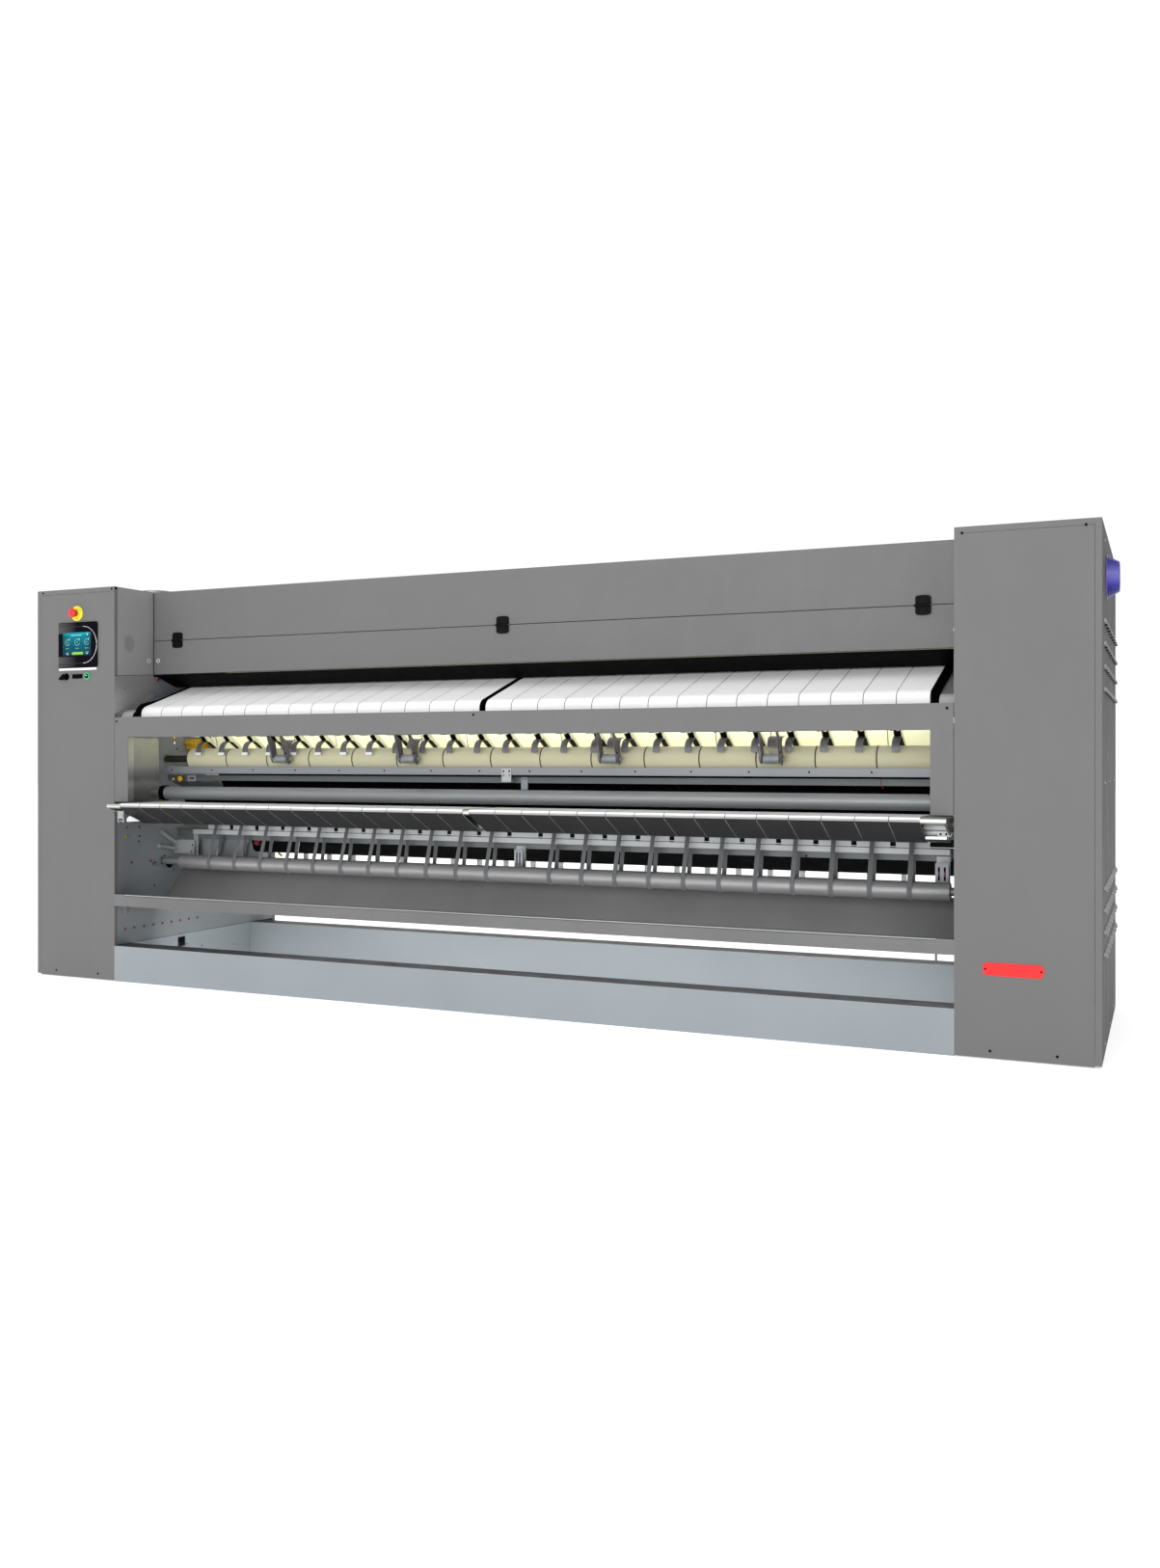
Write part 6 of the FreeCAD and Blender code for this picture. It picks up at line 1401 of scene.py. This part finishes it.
nose, drive = (-44.0, 756.0), (95.0, 712.0)
lean = math.degrees(math.atan2(drive[1] - nose[1], drive[0] - nose[0]))
shade = [(175.0, 764.0)] + [(nose[0] + 11.7 * math.cos(math.radians(a)), nose[1] + 11.7 * math.sin(math.radians(a))) for a in range(92, 226, 8)]
glint = [(nose[0] + 11.7 * math.cos(math.radians(a)), nose[1] + 11.7 * math.sin(math.radians(a))) for a in (224, 236, 248)]
d_ang = math.radians(-90 + lean - 6)
glint += [(drive[0] + 31.4 * math.cos(d_ang), drive[1] + 31.4 * math.sin(d_ang))]
# painted light in the gaps between delivery belts: dark strips over the top and nose are painted shade, light strips
# along the underside a painted glint
p = Piece("table_gap_shade_and_glint")
for x in SEAMS:
    p.use("seam_grey")
    p.strip(shade, x - 0.1, x + 2.5, 0.8)
    p.use("gap_glint_light")
    p.strip(glint, x - 0.1, x + 2.5, 0.8)
p.done("delivery_table", "feed_belt")

p = Piece("tube_collar").use("black_and_painted_hole_shade")
p.lathe("X", (0, 230, 806), [(-1693, 0), (-1693, 33.5), (-1670, 33.5), (-1669, 32.5), (-1669, 29.1), (-1669, 0)], 36)
p.done("delivery_roller", "black_paint")

p = Piece("table_hangers").use("ring_light")
p.prism("Y", [(-1693.2, 701.1), (-1677.1, 712.6), (-1618.6, 691.0), (-1693.2, 686.3)], 5.0, 7.0)
p.use("galvanised")
p.prism("X", [(2, 735), (14, 735), (14, 684), (8, 680), (2, 684)], -1741, -1737)
p.prism("X", [(2, 735), (14, 735), (14, 684), (8, 680), (2, 684)], -1713, -1709)
p.box(-1741, 1, 700, -1709, 3.2, 733)
p.use("screw_bright")
for z in (690, 706, 724):
    p.lathe("X", (-1725, 7.5, z), [(-20, 0), (-19.5, 4.2), (-16.5, 4.8), (-16.5, 3.0), (16.5, 3.0), (16.5, 4.8), (19.5, 4.2), (20, 0)], 12)
p.use("galvanised")
link = arc(1735, 709, 8, -90, 90, 8) + arc(1703, 709, 8, 90, 270, 8)
p.prism("Y", link, 57, 61)
p.prism("Y", rounded(1651, 723, 1732, 737, 3), 50, 64)
p.use("stainless")
p.box(1658, 52, 692, 1726, 70, 701)
# holes drawn as black discs: painted shade
p.use("black_and_painted_hole_shade")
for x in (1706, 1724):
    p.lathe("Y", (x, 57, 709), [(-0.6, 0), (-0.6, 3.8), (0.1, 3.8)], 18)
p.use("galvanised")
p.prism("X", [(60, 724), (92, 717), (150, 690), (146, 680), (84, 700), (58, 712)], -1748, -1744)
p.prism("X", [(96, 706), (160, 690), (168, 680), (120, 682), (92, 692)], -1746, -1728)
p.use("black_and_painted_hole_shade")
for y, z in ((74, 714), (100, 706)):
    p.lathe("X", (-1744, y, z), [(0, 4.2), (0.7, 4.2), (0.7, 0)], 16)
p.done("delivery_table", "zinc_steel", bevel=0.8)

# ---------------------------------------------------------------------------------------
# Folding section and side plate details

p = Piece("side_plate_studs")
rows_red = [(64.7 + 58.4 * k, 216) for k in range(9)] + [(76, 658), (153, 657), (104, 503.6), (222, 502)]
p.use("red_dark")
for y, z in rows_red:
    p.lathe("X", (-1759, y, z), [(0, 5.4), (2.4, 5.4), (3.2, 4.0), (3.2, 0)], 14)
    p.lathe("X", (1759, y, z), [(0, 5.4), (-2.4, 5.4), (-3.2, 4.0), (-3.2, 0)], 14)
p.use("lime_part")
for y, z in ((74, 618), (357, 378), (285, 767)):
    p.lathe("X", (-1759, y, z), [(0, 8.5), (2.0, 8.5), (3.0, 6.5), (3.0, 0)], 18)
# holes drawn as black discs: painted shade
p.use("black_and_painted_hole_shade")
for y, z in ((312.8, 519.4), (373, 453.6), (247, 390.5), (153, 616.8), (149, 592.6)):
    p.lathe("X", (-1759, y, z), [(0, 4.5), (0.6, 4.5), (0.6, 0)], 14)
p.lathe("X", (-1759, 345, 486), [(0, 24), (0.7, 24), (0.7, 0)], 30)
p.use("screw_bright")
p.lathe("X", (-1759, 245.6, 488), [(0, 11), (2, 11), (2.2, 9.5), (9, 9.5), (10, 8), (10, 0)], 6)
for y, z in ((459, 100), (562, 81), (790, 56)):
    p.screw((-1757, y, z), "X", 1, 6.5, 4.0, 12)
    p.screw((1757, y, z), "X", -1, 6.5, 4.0, 12)
p.done("frame", "screw")

# holes and slots drawn as black: painted shade
p = Piece("fold_fittings").use("black_and_painted_hole_shade")
for x, z in ((-1650, 567), (-1657, 537)):
    p.lathe("Y", (x, 372, z), [(-0.6, 0), (-0.6, 4.4), (0.1, 4.4)], 18)
p.lathe("Y", (1184, 352, 603), [(-0.6, 0), (-0.6, 4.0), (0.1, 4.0)], 14)
for x in (1655, 1675):
    p.prism("Y", rounded(x - 3.5, 530, x + 3.5, 578, 3.5), 349.0, 349.9)
for x in (6, 19):
    p.prism("Y", rounded(x - 2.5, 530, x + 2.5, 582, 2.5), 349.0, 349.9)
p.use("red_dark")
for x in (1655, 1675):
    p.prism("Y", rounded(x - 1.8, 546, x + 1.8, 562, 1.6), 348.6, 349.3)
p.use("bar_steel")
p.prism("Y", rounded(1642, 512, 1688, 594, 5), 349.9, 352.0)
p.prism("Y", rounded(-6, 516, 31, 596, 4), 349.9, 352.0)
p.use("red_dark")
p.lathe("X", (-1324, 420, 583), [(-14, 0), (-13, 9), (-10, 11), (6, 11), (8, 8), (8, 0)], 20)
p.use("rubber")
p.tube([(-1316, 420, 583), (-1290, 420, 560), (-1268, 424, 540)], 4, 10)
p.use("yellow_part")
p.tube([(-1214, 424, 540), (-1196, 424, 528)], 5, 10)
p.done("frame", "zinc_steel", bevel=0.4, seg=1)

p = Piece("fold_left_sheet").use("frame_paint")
p.prism("Y", [(-1651.8, 615.4), (-1369.3, 617.5), (-1353.3, 553.1), (-1268.7, 495.4), (-1668.4, 482.7)], 424, 426)
p.use("ring_light")
for poly in ([(-1515.9, 610.8), (-1500.7, 611.2), (-1532.2, 509.4), (-1545.3, 509.0)], [(-1376.1, 610.7), (-1361.3, 611.0), (-1388.9, 510.3), (-1401.7, 509.9)], [(-1239.1, 608.8), (-1224.5, 609.1), (-1243.2, 510.5), (-1255.8, 510.1)], [(-1097.4, 608.0), (-1083.1, 608.3), (-1098.4, 512.5), (-1110.7, 512.1)]):
    p.prism("Y", poly, 403.4, 404.6)
p.done("frame", "cover_paint")

p = Piece("fold_backing").use("seam_grey")
p.box(-1592, 428, 641, 1698, 430, 742)
p.use("seam_grey")
p.box(-1630, 351.2, 640.0, 1692, 352.2, 642.2)
p.done("frame", "black_paint", bevel=0.3, seg=1)

# painted highlight: a light strip along the top edge of the tray lip, with a thin dark line under it
p = Piece("tray_lip_highlight").use("plate_steel")
p.box(-1699, -1.0, 370.6, 1699, 0.4, 374.0)
p.use("seam_grey")
p.box(-1699, -0.6, 367.8, 1699, 0.2, 369.2)
p.done("frame", "cover_paint", bevel=0.3, seg=1)

p = Piece("tray_ears").use("cover_paint")
p.prism("X", [(2, 324), (26, 324), (26, 300), (14, 290), (2, 300)], -1700, -1696)
p.prism("X", [(2, 324), (26, 324), (26, 300), (14, 290), (2, 300)], 1696, 1700)
p.done("frame", "cover_paint", bevel=0.8)

{"cad": plain(CAD_BOX), "visual": plain(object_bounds())}
